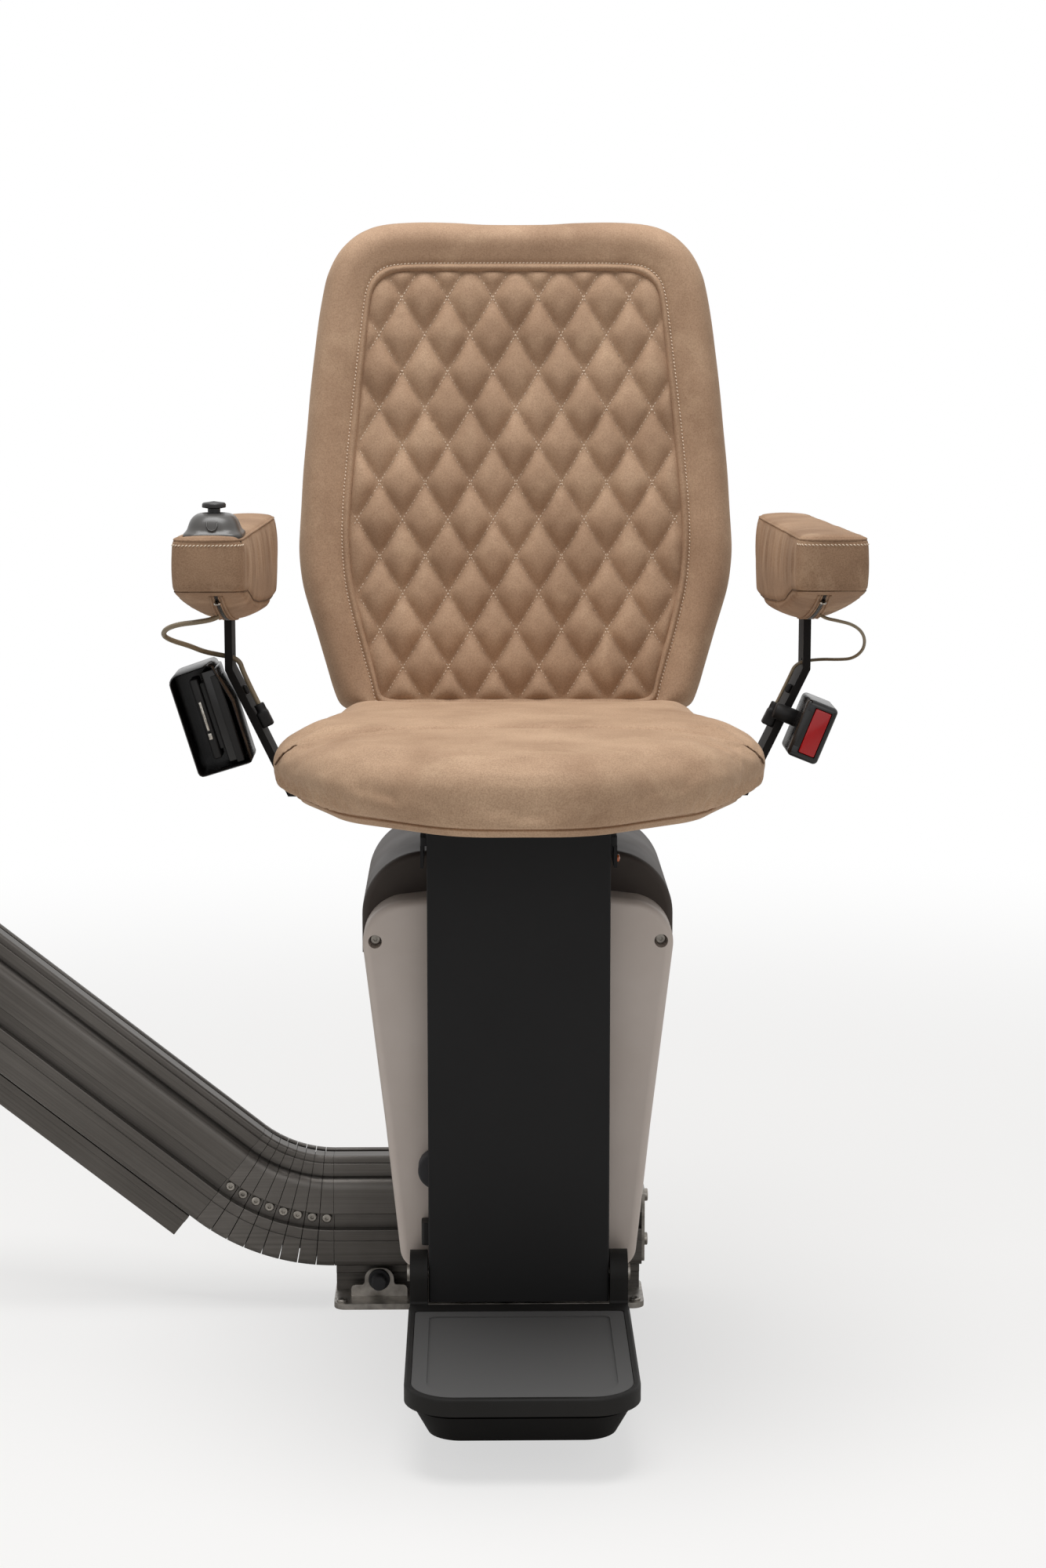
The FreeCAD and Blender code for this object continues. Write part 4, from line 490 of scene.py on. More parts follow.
@dataclass
class Form:
    """The points and faces of a mesh while it is being built."""

    points: list[Vector] = field(default_factory=list)
    faces: list[tuple[int, ...]] = field(default_factory=list)

    def rings(
        self, rings: Sequence[Sequence[Vector]], start: Ring = Ring.CLOSED, end: Ring = Ring.CLOSED
    ) -> "Form":
        """Skins closed rings of equal length, one after the other.

        Args:
            rings: The rings, in order.
            start: Whether the first ring gets a face across it.
            end: Whether the last ring gets a face across it.

        Returns:
            This form.
        """
        count = len(rings[0])
        base = len(self.points)
        for ring in rings:
            self.points.extend(ring)
        for i in range(len(rings) - 1):
            low = base + i * count
            for j in range(count):
                k = (j + 1) % count
                self.faces.append((low + j, low + k, low + count + k, low + count + j))
        if start is Ring.CLOSED:
            self.faces.append(tuple(base + count - 1 - j for j in range(count)))
        if end is Ring.CLOSED:
            last = base + (len(rings) - 1) * count
            self.faces.append(tuple(last + j for j in range(count)))
        return self

    def thing(self, name: str) -> bpy.types.Object:
        """Makes a smooth Blender object with outward normals.

        Args:
            name: The object's name.

        Returns:
            The object, linked to the scene.
        """
        mesh = bpy.data.meshes.new(name)
        mesh.from_pydata([tuple(p) for p in self.points], [], self.faces)
        mesh.validate()
        made = bmesh.new()
        made.from_mesh(mesh)
        bmesh.ops.recalc_face_normals(made, faces=made.faces)
        made.to_mesh(mesh)
        made.free()
        mesh.shade_smooth()
        return placed(name, mesh)


def circle(centre: Vector, across: Vector, up: Vector, radius: float, count: int) -> list[Vector]:
    """Even points round a circle.

    Args:
        centre: The circle's centre.
        across: The direction of its first point.
        up: The direction a quarter turn later.
        radius: Its radius.
        count: How many points.

    Returns:
        The points.
    """
    turns = (2 * math.pi * i / count for i in range(count))
    return [centre + (across * math.cos(t) + up * math.sin(t)) * radius for t in turns]


def between(rows: Sequence[Sequence[float]], at: float) -> list[float]:
    """Values at a place in a table, straight from row to row.

    Args:
        rows: Rows in rising order of their first column, which is the place.
        at: The place.

    Returns:
        The other columns' values there.
    """
    for low, high in zip(rows, rows[1:]):
        if at <= high[0]:
            share = max(0.0, (at - low[0]) / (high[0] - low[0]))
            return [a + (b - a) * share for a, b in zip(low[1:], high[1:])]
    return list(rows[-1][1:])


def both_sides(right: Sequence[tuple[float, ...]]) -> list[tuple[float, ...]]:
    """Points of the right half, followed by their mirror images in reverse."""
    return [*right, *((-x, *rest) for x, *rest in reversed(right))]


def rounded_outline(corners: Sequence[Corner], steps: int = 10) -> list[Point2]:
    """Points along a closed outline with rounded corners.

    Args:
        corners: Each corner's two coordinates and its radius.
        steps: Points on each corner's arc.

    Returns:
        The points, in order.
    """
    points: list[Point2] = []
    for i, (x, y, radius) in enumerate(corners):
        here = Vector((x, y))
        back = (Vector(corners[i - 1][:2]) - here).normalized()
        ahead = (Vector(corners[(i + 1) % len(corners)][:2]) - here).normalized()
        if radius <= 0:
            points.append((x, y))
            continue
        half = back.angle(ahead) / 2
        centre = here + (back + ahead).normalized() * (radius / math.sin(half))
        start = here + back * (radius / math.tan(half)) - centre
        sweep = start.angle_signed(here + ahead * (radius / math.tan(half)) - centre)
        for j in range(steps + 1):
            arm = start.copy()
            arm.rotate(Matrix.Rotation(-sweep * j / steps, 2))
            points.append((centre.x + arm.x, centre.y + arm.y))
    return points


def smooth_loop(points: Sequence[Point2], steps: int = 6) -> list[Point2]:
    """A closed outline that runs smoothly through its points.

    Args:
        points: The points, in order.
        steps: Pieces from one point to the next.

    Returns:
        The finer outline.
    """
    loop: list[Point2] = []
    count = len(points)
    for i in range(count):
        a, b, c, d = (Vector(points[(i + k) % count]) for k in (-1, 0, 1, 2))
        for j in range(steps):
            t = j / steps
            square, cube = 2 * a - 5 * b + 4 * c - d, 3 * b - a - 3 * c + d
            spot = (2 * b + (c - a) * t + square * t ** 2 + cube * t ** 3) / 2
            loop.append((spot.x, spot.y))
    return loop


def ray_ring(outline: Sequence[Point2], centre: Point2, angles: Sequence[float]) -> list[Point2]:
    """Where rays from a centre leave a star-shaped outline.

    Args:
        outline: The closed outline.
        centre: The rays' start.
        angles: The rays' directions, in radians.

    Returns:
        One point for each ray.
    """
    found: list[Point2] = []
    count = len(outline)
    for angle in angles:
        dx, dy = math.cos(angle), math.sin(angle)
        best = 0.0
        for i in range(count):
            ax, ay = outline[i][0] - centre[0], outline[i][1] - centre[1]
            bx, by = outline[(i + 1) % count][0] - centre[0], outline[(i + 1) % count][1] - centre[1]
            ex, ey = bx - ax, by - ay
            spread = dx * ey - dy * ex
            if abs(spread) < 1e-12:
                continue
            far = (ax * ey - ay * ex) / spread
            along = (ax * dy - ay * dx) / spread
            if far > 0 and -1e-9 <= along <= 1 + 1e-9:
                best = max(best, far)
        found.append((centre[0] + dx * best, centre[1] + dy * best))
    return found


def even_angles(outline: Sequence[Point2], centre: Point2, count: int) -> list[float]:
    """Ray directions that meet an outline at even steps along it.

    Args:
        outline: The closed outline.
        centre: The rays' start.
        count: How many rays.

    Returns:
        The angles, in radians.
    """
    lengths = [0.0]
    closed = list(outline) + [outline[0]]
    for a, b in zip(closed, closed[1:]):
        lengths.append(lengths[-1] + math.dist(a, b))
    angles = []
    k = 0
    for i in range(count):
        goal = lengths[-1] * i / count
        while lengths[k + 1] < goal:
            k += 1
        span = lengths[k + 1] - lengths[k] or 1
        share = (goal - lengths[k]) / span
        x = closed[k][0] + (closed[k + 1][0] - closed[k][0]) * share
        y = closed[k][1] + (closed[k + 1][1] - closed[k][1]) * share
        angles.append(math.atan2(y - centre[1], x - centre[0]))
    return angles


def walk(points: Sequence[Vector], pitch: float, closed: bool = False) -> list[tuple[Vector, Vector]]:
    """Even places along a line of points.

    Args:
        points: The line.
        pitch: The distance from place to place.
        closed: Whether the line returns to its start.

    Returns:
        Each place with the line's direction there.
    """
    line = list(points) + ([points[0]] if closed else [])
    places = []
    travelled = 0.0
    goal = pitch / 2
    for a, b in zip(line, line[1:]):
        run = (b - a).length
        while run and goal <= travelled + run:
            places.append((a.lerp(b, (goal - travelled) / run), (b - a).normalized()))
            goal += pitch
        travelled += run
    return places


def tube_form(
    points: Sequence[Vector], radius: float, sides: int = 8, closed: bool = False, form: Form | None = None
) -> Form:
    """A round tube along a line of points.

    Args:
        points: The line.
        radius: The tube's radius.
        sides: Points round the tube.
        closed: Whether the tube returns to its start.
        form: A form to add to.

    Returns:
        The form with the tube in it.
    """
    form = form or Form()
    rings = []
    normal = None
    count = len(points)
    for i, here in enumerate(points):
        before = points[i - 1] if closed or i > 0 else here
        after = points[(i + 1) % count] if closed or i < count - 1 else here
        along = (after - before).normalized()
        if normal is None:
            normal = along.orthogonal().normalized()
        normal = (normal - along * normal.dot(along)).normalized()
        across = along.cross(normal)
        rings.append(circle(here, normal, across, radius, sides))
    if closed:
        rings.append(rings[0])
        return form.rings(rings, Ring.OPEN, Ring.OPEN)
    return form.rings(rings)


@dataclass(frozen=True)
class Stitching:
    """A row of sewing: how long each stitch is, how far apart, how thick and how it slants."""

    length_mm: float = 2.6
    pitch_mm: float = 3.5
    thread_mm: float = 0.75
    slant_deg: float = 0.0
    sides: int = 6

    def sew(
        self, form: Form, places: Iterable[tuple[Vector, Vector]], outward: Callable[[Vector], Vector]
    ) -> Form:
        """Adds one small rounded stitch at each place.

        Args:
            form: The form that gets the stitches.
            places: Each stitch's middle and the row's direction.
            outward: Gives the cloth's outward direction at a point.

        Returns:
            The form.
        """
        half = self.length_mm * MM / 2
        radius = self.thread_mm * MM / 2
        for middle, along in places:
            out = outward(middle).normalized()
            run = (along - out * along.dot(out)).normalized()
            run.rotate(Quaternion(out, math.radians(self.slant_deg)))
            side = run.cross(out)
            # Each stitch dives into the cloth at both ends and stands out between them.
            rings = []
            for far, wide, lift in ((-1, 0.35, -0.9), (-0.55, 1, 0.2), (0.55, 1, 0.2), (1, 0.35, -0.9)):
                centre = middle + run * half * far + out * radius * lift
                rings.append(circle(centre, side, out, radius * wide, self.sides))
            form.rings(rings)
        return form


def applied(piece: bpy.types.Object) -> bpy.types.Object:
    """Turns a piece's modifiers into plain mesh.

    Args:
        piece: The piece with its modifiers.

    Returns:
        The same piece.
    """
    graph = bpy.context.evaluated_depsgraph_get()
    graph.update()
    mesh = bpy.data.meshes.new_from_object(piece.evaluated_get(graph))
    piece.modifiers.clear()
    old = piece.data
    piece.data = mesh
    bpy.data.meshes.remove(old)
    return piece


def subdivided(piece: bpy.types.Object, levels: int = 1) -> bpy.types.Object:
    """Rounds a piece by subdivision.

    Args:
        piece: The piece.
        levels: How often it is divided.

    Returns:
        The piece, smooth shaded.
    """
    smooth = piece.modifiers.new("smooth", "SUBSURF")
    smooth.levels = smooth.render_levels = levels
    applied(piece)
    piece.data.shade_smooth()
    return piece


def carved(piece: bpy.types.Object, cutter: bpy.types.Object) -> bpy.types.Object:
    """Cuts one closed form out of another and removes the cutter.

    Args:
        piece: The piece that is cut.
        cutter: What is cut out of it.

    Returns:
        The piece.
    """
    cut = piece.modifiers.new("cut", "BOOLEAN")
    cut.object = cutter
    cut.solver = "EXACT"
    applied(piece)
    bpy.data.objects.remove(cutter)
    return piece


def block(
    name: str, low: Corner, high: Corner, bevel: float = 0.0, spot: Matrix | None = None, segments: int = 3
) -> bpy.types.Object:
    """A block with bevelled edges, in place.

    Args:
        name: The object's name.
        low: Its lowest corner.
        high: Its highest corner.
        bevel: Width of the bevel.
        spot: Where the block's own frame stands.
        segments: Steps across the bevel.

    Returns:
        The object.
    """
    base = ((low[0], low[1]), (high[0], low[1]), (high[0], high[1]), (low[0], high[1]))
    piece = Form().rings([[Vector((x, y, z)) for x, y in base] for z in (low[2], high[2])]).thing(name)
    piece.data.shade_flat()
    if bevel:
        softened = bmesh.new()
        softened.from_mesh(piece.data)
        bmesh.ops.bevel(softened, geom=softened.edges[:], offset=bevel, segments=segments, profile=0.5,
                        affect="EDGES")
        softened.to_mesh(piece.data)
        softened.free()
        piece.data.shade_smooth()
        piece.data.set_sharp_from_angle(angle=math.radians(50))
    if spot is not None:
        piece.data.transform(spot)
    return piece


def grid_of(piece: bpy.types.Object, voxel: float) -> bpy.types.Object:
    """Rebuilds a closed piece from even quads.

    Args:
        piece: The closed piece.
        voxel: Size of a quad.

    Returns:
        The piece.
    """
    remesh = piece.modifiers.new("even", "REMESH")
    remesh.mode = "VOXEL"
    remesh.voxel_size = voxel
    remesh.use_smooth_shade = True
    return applied(piece)


@dataclass(frozen=True)
class Stuffing:
    """How a cover is blown up by what it is stuffed with."""

    voxel: float = 0.005
    pressure: float = 4.0
    cap: float = 0.006
    frames: int = 20
    firm: float = 15.0
    bend: float = 0.6

    def fill(self, piece: bpy.types.Object, held: Callable[[Vector], bool]) -> bpy.types.Object:
        """Swells a closed piece as cloth, with some points held, and caps how far any point moves.

        Args:
            piece: The closed piece, slightly smaller than it ends.
            held: Says whether a point stays where it is.

        Returns:
            The piece with the swelling applied and one subdivision.
        """
        grid_of(piece, self.voxel)
        before = [v.co.copy() for v in piece.data.vertices]
        pins = piece.vertex_groups.new(name="held")
        pins.add([i for i, point in enumerate(before) if held(point)], 1.0, "ADD")
        cloth = piece.modifiers.new("stuffing", "CLOTH")
        cloth.settings.use_pressure = True
        cloth.settings.uniform_pressure_force = self.pressure
        cloth.settings.tension_stiffness = self.firm
        cloth.settings.compression_stiffness = self.firm
        cloth.settings.bending_stiffness = self.bend
        cloth.settings.vertex_group_mass = pins.name
        cloth.settings.effector_weights.gravity = 0
        cloth.collision_settings.use_self_collision = False
        cloth.point_cache.frame_start = 1
        cloth.point_cache.frame_end = self.frames
        for number in range(1, self.frames + 1):
            bpy.context.scene.frame_set(number)
        applied(piece)
        bpy.context.scene.frame_set(1)
        for vertex, start in zip(piece.data.vertices, before):
            moved = vertex.co - start
            if moved.length > self.cap:
                vertex.co = start + moved.normalized() * self.cap
        piece.vertex_groups.clear()
        return subdivided(piece)


def dressed(piece: bpy.types.Object, finish: Finish, body: str, *nodes: str) -> bpy.types.Object:
    """Gives a piece its finish, the body that it rides on and the nodes that it stands for.

    Args:
        piece: The piece.
        finish: Its surface.
        body: The body's name.
        *nodes: CAD nodes that it replaces.

    Returns:
        The piece.
    """
    piece.data.materials.clear()
    piece.data.materials.append(finish.material())
    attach(piece, body)
    if nodes:
        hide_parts(*nodes)
    return piece


def ripple(point: Vector, size: float, seed: float = 0.0) -> float:
    """Smooth noise between about -1 and 1.

    Args:
        point: Where.
        size: Width of a wave.
        seed: Shifts the pattern.

    Returns:
        The noise's value.
    """
    return noise.noise(point / size + Vector((seed, seed * 1.7, seed * 0.3)))


@dataclass
class Skin:
    """The surface of a finished piece, on which seams and stitches are laid."""

    tree: BVHTree

    @classmethod
    def of(cls, piece: bpy.types.Object) -> "Skin":
        """Reads a piece's surface."""
        mesh = piece.data
        faces = [tuple(face.vertices) for face in mesh.polygons]
        return cls(BVHTree.FromPolygons([vertex.co for vertex in mesh.vertices], faces))

    def cast(self, start: Vector, toward: Vector, lift: float = 0.0) -> Vector | None:
        """Where a ray meets the surface.

        Args:
            start: The ray's start, outside the piece.
            toward: Its direction.
            lift: How far the result stands off the surface.

        Returns:
            The place, or None where the ray misses.
        """
        spot, normal, _, _ = self.tree.ray_cast(start, toward)
        return None if spot is None else spot + normal * lift

    def line(
        self, starts: Iterable[Vector], toward: Callable[[Vector], Vector], lift: float = 0.0
    ) -> list[Vector]:
        """Lays a line of points on the surface.

        Args:
            starts: The rays' starts.
            toward: Gives each ray's direction.
            lift: How far the line stands off the surface.

        Returns:
            The points that met the surface.
        """
        found = (self.cast(start, toward(start), lift) for start in starts)
        return [spot for spot in found if spot is not None]

    def outward(self, point: Vector) -> Vector:
        """The surface's normal at the nearest place."""
        return self.tree.find_nearest(point)[1]


@dataclass
class Studio:
    """Camera at the photograph's angle, a pale floor and plain soft light."""

    eye: Corner = (-0.040, -3.040, 1.036)
    pitch_deg: float = 9.245
    yaw_deg: float = -0.9
    lens_mm: float = 70.0
    floor_half: float = 9.0
    floor_z: float = -0.0002
    fade_from: float = 0.7
    fade_to: float = 2.6

    def camera(self) -> None:
        """Makes the scene's camera."""
        lens = bpy.data.cameras.new("camera")
        lens.lens = self.lens_mm
        lens.sensor_width = 36
        lens.sensor_fit = "AUTO"
        lens.clip_end = 60
        stand = placed("camera", lens)
        stand.location = self.eye
        stand.rotation_euler = (math.radians(90 - self.pitch_deg), 0, math.radians(self.yaw_deg))
        bpy.context.scene.camera = stand

    def floor(self) -> None:
        """Makes the plain pale floor. It fades to the white background, and keeps the chair's shadow."""
        corners = [Vector((x * self.floor_half, y * self.floor_half, self.floor_z))
                   for x, y in ((-1, -1), (1, -1), (1, 1), (-1, 1))]
        floor = Form(corners, [(0, 1, 2, 3)]).thing("studio_floor")
        paint = bpy.data.materials.new("studio_floor_paint")
        paint.use_nodes = True
        tree = paint.node_tree
        shader = tree.nodes["Principled BSDF"]
        shader.inputs["Base Color"].default_value = linear("f4f3f1")
        shader.inputs["Roughness"].default_value = 0.9
        spot = add_node(tree, "TexCoord").outputs["Object"]
        far = add_node(tree, "VectorMath", links={0: spot}, operation="LENGTH")
        fade = add_node(tree, "MapRange", {"From Min": self.fade_from, "From Max": self.fade_to, "To Min": 0.62,
                                           "To Max": 1.0}, {"Value": far.outputs["Value"]},
                        interpolation_type="SMOOTHSTEP")
        path = add_node(tree, "LightPath")
        seen = add_node(tree, "Math", links={0: fade.outputs[0], 1: path.outputs["Is Camera Ray"]},
                        operation="MULTIPLY")
        white = add_node(tree, "Emission", {"Color": (1, 1, 1, 1), "Strength": 1.0})
        mix = add_node(tree, "MixShader", links={0: seen.outputs[0], 1: shader.outputs[0], 2: white.outputs[0]})
        tree.links.new(mix.outputs[0], tree.nodes["Material Output"].inputs[0])
        floor.data.materials.append(paint)

    def world(self) -> None:
        """Gives soft light all round, and a white background to the camera and to reflections."""
        world = bpy.data.worlds.new("studio")
        world.use_nodes = True
        bpy.context.scene.world = world
        tree = world.node_tree
        tree.nodes.clear()
        seen = add_node(tree, "Background", {"Color": (1, 1, 1, 1), "Strength": 1.0})
        lit = add_node(tree, "Background", {"Color": linear("f7f3ee"), "Strength": 0.33})
        path = add_node(tree, "LightPath")
        camera, glossy = path.outputs["Is Camera Ray"], path.outputs["Is Glossy Ray"]
        either = add_node(tree, "Math", links={0: camera, 1: glossy}, operation="MAXIMUM")
        any_of = add_node(tree, "Math", links={0: either.outputs[0], 1: path.outputs["Is Transmission Ray"]},
                          operation="MAXIMUM")
        mix = add_node(tree, "MixShader", links={0: any_of.outputs[0], 1: lit.outputs[0], 2: seen.outputs[0]})
        add_node(tree, "OutputWorld", links={0: mix.outputs[0]})

    def lamp(self, name: str, spot: Corner, aim: Corner, size: float, watts: float) -> None:
        """Adds one square soft light.

        Args:
            name: The light's name.
            spot: Where it hangs.
            aim: The point that it faces.
            size: Its side.
            watts: Its power.
        """
        light = bpy.data.lights.new(name, "AREA")
        light.shape = "SQUARE"
        light.size = size
        light.energy = watts
        stand = placed(name, light)
        stand.location = spot
        stand.rotation_euler = (Vector(aim) - Vector(spot)).to_track_quat("-Z", "Y").to_euler()

    def build(self) -> None:
        """Sets up the whole studio."""
        self.camera()
        self.floor()
        self.world()
        self.lamp("overhead_softbox", (-0.15, -0.62, 3.0), (0, -0.25, 0.6), 1.6, 58)
        self.lamp("front_softbox", (0.9, -3.2, 1.9), (0, -0.2, 0.6), 1.4, 6)
        bpy.context.scene.view_settings.view_transform = "Standard"


@dataclass
class ArmLead:
    """One beige lead from a pad's underside, out in a loop and in again through its bar.

    The length is the one measured along its route, where the photograph shows it from end to end.
    """

    side: Side
    radius: float
    length: float
    route_mm: tuple[Corner, ...]

    def build(self) -> None:
        name = f"lead_{self.side.word}"
        curve = bpy.data.curves.new(name, "CURVE")
        curve.dimensions = "3D"
        curve.bevel_depth = self.radius
        curve.bevel_resolution = 5
        curve.resolution_u = 16
        curve.use_fill_caps = True
        spline = curve.splines.new("NURBS")
        spline.points.add(len(self.route_mm) - 1)
        for point, spot in zip(spline.points, self.route_mm):
            point.co = (*(c * MM for c in spot), 1)
        spline.order_u = 3
        spline.use_endpoint_u = True
        piece = dressed(placed(name, curve), SHEATH, "chair", f"arm_cable_{self.side.word}")


LEADS = (
    ArmLead(Side.LEFT, 0.00235, 0.230, (
        (-272, -296, 743.3), (-275.5, -298, 741), (-290, -300, 738.5), (-307, -298, 736.5), (-320, -289, 731.5),
        (-324.5, -276, 724), (-318, -258, 717), (-304, -238, 710), (-294, -214, 702), (-284, -190, 696.4),
        (-262, -190, 692.4), (-258.1, -190, 678.1), (-244.2, -190, 649.3))),
    ArmLead(Side.RIGHT, 0.0015, 0.220, (
        (272, -296, 744), (275.5, -298, 741), (289, -300, 738.5), (301.5, -296, 735), (311.5, -286, 727.5),
        (316.5, -272, 717), (316, -257, 706), (309, -240, 697), (299, -214, 693), (284, -190, 690.6),
        (262, -190, 687.6), (255.5, -190, 672.7), (244.2, -190, 649.3))),
)


# Half of the seat's section, from the underside's middle to the top's: place along it, nearness to the middle,
# rise in metres, and draw-in at the edge as a share of the lower edge's draw-in.
SEAT_SECTION = (
    (0.0, 1.0, 0.0, 0.0), (0.10, 0.5, 0.0, 0.0), (0.24, 0.0, 0.0, 1.0), (0.30, 0.0, 0.0025, 0.60),
    (0.38, 0.0, 0.0095, 0.25), (0.46, 0.0, 0.0200, 0.06), (0.54, 0.0, 0.0310, 0.0), (0.60, 0.0, 0.0410, 0.12),
    (0.66, 0.0, 0.0500, 0.48), (0.76, 0.0, 0.0560, 1.5), (0.88, 0.5, 0.0592, 0.0), (1.0, 1.0, 0.0600, 0.0),
)
SEAT_SHARES = (0.10, 0.2, 0.24, 0.28, 0.32, 0.36, 0.40, 0.44, 0.48, 0.51, 0.54, 0.57, 0.60, 0.63, 0.66, 0.71,
               0.76, 0.84, 0.92, 0.97)
# The skirt's closed section: inset from the cushion's outline and height over its underside.
SKIRT_SECTION = (
    (0.0225, 0.0020), (0.0232, -0.0015), (0.0245, -0.0055), (0.0268, -0.0086), (0.0300, -0.0104),
    (0.0360, -0.0108), (0.0360, -0.0101), (0.0303, -0.0100), (0.0298, -0.0008), (0.0275, 0.0012),
)


@dataclass
class SeatCushion:
    """The folding seat's cushion: a crowned leather form with one cross seam and a gathered edge."""

    rear: Point2 = (0.175, -0.086)
    widest: Point2 = (0.230, -0.300)
    front: Point2 = (0.177, -0.425)
    nose: Point2 = (0.066, -0.513)
    low: float = 0.584
    high: float = 0.640
    seam_y: float = -0.326
    centre: Point2 = (0.0, -0.290)
    rays: int = 170
    trim_rays: int = 240
    under_front: float = 0.012
    under_side: float = 0.012
    hem_inset: float = 0.0236
    hem_drop: float = 0.0040
    seam_rows: tuple[float, ...] = (-0.0075, -0.0045, -0.0026, -0.0013, 0.0, 0.0013, 0.0026, 0.0045, 0.0075)
    ears_x: float = 0.085
    fold_keep: float = 0.86

    def outline(self) -> list[Point2]:
        """The cushion's outline from above."""
        right = [(*self.rear, 0.020), (*self.widest, 0.080), (*self.front, 0.110), (*self.nose, 0.110)]
        return rounded_outline(both_sides(right), 16)

    def edge(self, count: int) -> list[Vector]:
        """Even places round the outline, at floor level.

        Args:
            count: How many.

        Returns:
            The places.
        """
        outline = self.outline()
        angles = even_angles(outline, self.centre, count)
        return [Vector((x, y, 0)) for x, y in ray_ring(outline, self.centre, angles)]

    def section(self, share: float, edge: Vector) -> Vector:
        """One point of a ring that runs from the underside's middle round the edge to the top's middle.

        Args:
            share: 0 to 1 along the section.
            edge: The outline's point on this ray.

        Returns:
            The point.
        """
        middle = Vector((*self.centre, 0))
        arm = edge - middle
        corner = max(0.0, min(1.0, (abs(edge.x) - 0.02) / 0.12)) if edge.y < self.centre[1] else 0.6
        near, up, drawn = between(SEAT_SECTION, share)
        inset = drawn * (self.under_front + self.under_side * corner)
        spot = middle + arm * (1 - near) * (1 - inset / arm.length)
        spot.z = self.low + up - 0.0025
        return spot

    def body(self) -> bpy.types.Object:
        """The stuffed form.

        Returns:
            The cushion's object.
        """
        edge = self.edge(self.rays)
        rings = [[self.section(share, point) for point in edge] for share in SEAT_SHARES]
        piece = Form().rings(rings).thing("seat_cushion_leather")

        def held(p: Vector) -> bool:
            """Whether a point lies on the board or in the cross seam."""
            return p.z < self.low + 0.001 or (abs(p.y - self.seam_y) < 0.0035 and p.z > self.low + 0.038)

        Stuffing(0.0055, 5.0, 0.006).fill(piece, held)
        self.seam(piece)
        self.tuck(piece)
        return piece

    def seam(self, piece: bpy.types.Object) -> None:
        """Cuts fine rows of points across the top, and folds the cover down into the seam between them."""
        cut = bmesh.new()
        cut.from_mesh(piece.data)
        for offset in self.seam_rows:
            bmesh.ops.bisect_plane(cut, geom=cut.verts[:] + cut.edges[:] + cut.faces[:], dist=0.00001,
                                   plane_co=(0, self.seam_y + offset, 0), plane_no=(0, 1, 0))
        for vertex in cut.verts:
            p = vertex.co
            away = abs(p.y - self.seam_y)
            if p.z > self.low + 0.018 and away < 0.012:
                p.z -= 0.0034 * math.exp(-away / 0.0019) + 0.0022 * math.exp(-(away / 0.007) ** 2)
        cut.to_mesh(piece.data)
        cut.free()

    def tuck(self, piece: bpy.types.Object) -> None:
        """Gathers the cover under the side edges and adds soft creases."""
        for vertex in piece.data.vertices:
            p = vertex.co
            side = max(0.0, min(1.0, (abs(p.x) - 0.125) / 0.05)) * max(0.0, min(1.0, (-0.265 - p.y) / 0.04))
            lower = max(0.0, 1 - abs(p.z - self.low - 0.008) / 0.013)
            wave = math.sin((p.y * 0.9 + abs(p.x) * 0.75) / 0.0027 + 3 * ripple(p, 0.05, 1))
            p += Vector((math.copysign(0.8, p.x), -0.5, -0.3)) * 0.0026 * wave * side * lower
            top = max(0.0, min(1.0, (p.z - self.low - 0.03) / 0.02))
            p.z += top * (0.0008 * ripple(p, 0.07, 2) + 0.0003 * ripple(p, 0.022, 5))
            p.z = max(p.z, self.low + 0.0003)

    def drawn_in(self, edge: Sequence[Vector], inset: float, up: float) -> list[Vector]:
        """The outline, drawn in by a distance.

        Args:
            edge: Points of the outline.
            inset: How far they draw in towards the middle.
            up: Their height over the cushion's underside.

        Returns:
            The moved points.
        """
        middle = Vector((*self.centre, 0))
        moved = [middle + (point - middle) * (1 - inset / (point - middle).length) for point in edge]
        return [Vector((spot.x, spot.y, self.low + up)) for spot in moved]

    def skirt(self) -> bpy.types.Object:
        """The cover's lower edge, pulled round the board and stapled below it.

        Returns:
            The skirt's object.
        """
        edge = self.edge(self.trim_rays)
        rings = [self.drawn_in(edge, inset, up) for inset, up in (*SKIRT_SECTION, SKIRT_SECTION[0])]
        return Form().rings(rings, Ring.OPEN, Ring.OPEN).thing("seat_skirt")

    def hem(self) -> bpy.types.Object:
        """The rolled hem at the foot of the skirt."""
        line = self.drawn_in(self.edge(self.trim_rays), self.hem_inset, -self.hem_drop)
        return tube_form(line, 0.0014, 8, True).thing("seat_hem")

    def seam_line(self, skin: Skin) -> bpy.types.Object:
        """The turned edge that stands in the cross seam, in leather painted dark as the seam's shade.

        Args:
            skin: The cushion's surface.

        Returns:
            The edge's object.
        """
        starts = [Vector((0.0015 * i, self.seam_y, 0.70)) for i in range(-146, 147)]
        line = skin.line(starts, lambda start: Vector((0, 0, -1)), 0.0030)
        return tube_form(line, 0.0010, 6).thing("seat_seam_line")

    def build(self) -> None:
        """Makes the cushion, its skirt and hem, and the slots for the hinge ears."""
        piece, skirt, hem = self.body(), self.skirt(), self.hem()
        line = self.seam_line(Skin.of(piece))
        for x in (-self.ears_x, self.ears_x):
            low, high = (x - 0.0125, -0.143, self.low - 0.03), (x + 0.0125, -0.07, self.low + 0.0205)
            for thing in (piece, skirt, hem):
                carved(thing, block("ear_room", low, high))
        for thing in (piece, skirt):
            thing.data.shade_smooth()
        dressed(piece, NUBUCK_SEAT, "folding_seat", "seat_cushion")
        dressed(line, NUBUCK_SEAM_SHADE, "folding_seat")
        for thing in (piece, line):
            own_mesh(thing)
        dressed(skirt, NUBUCK_SEAT, "folding_seat")
        dressed(hem, NUBUCK_SEAT, "folding_seat")


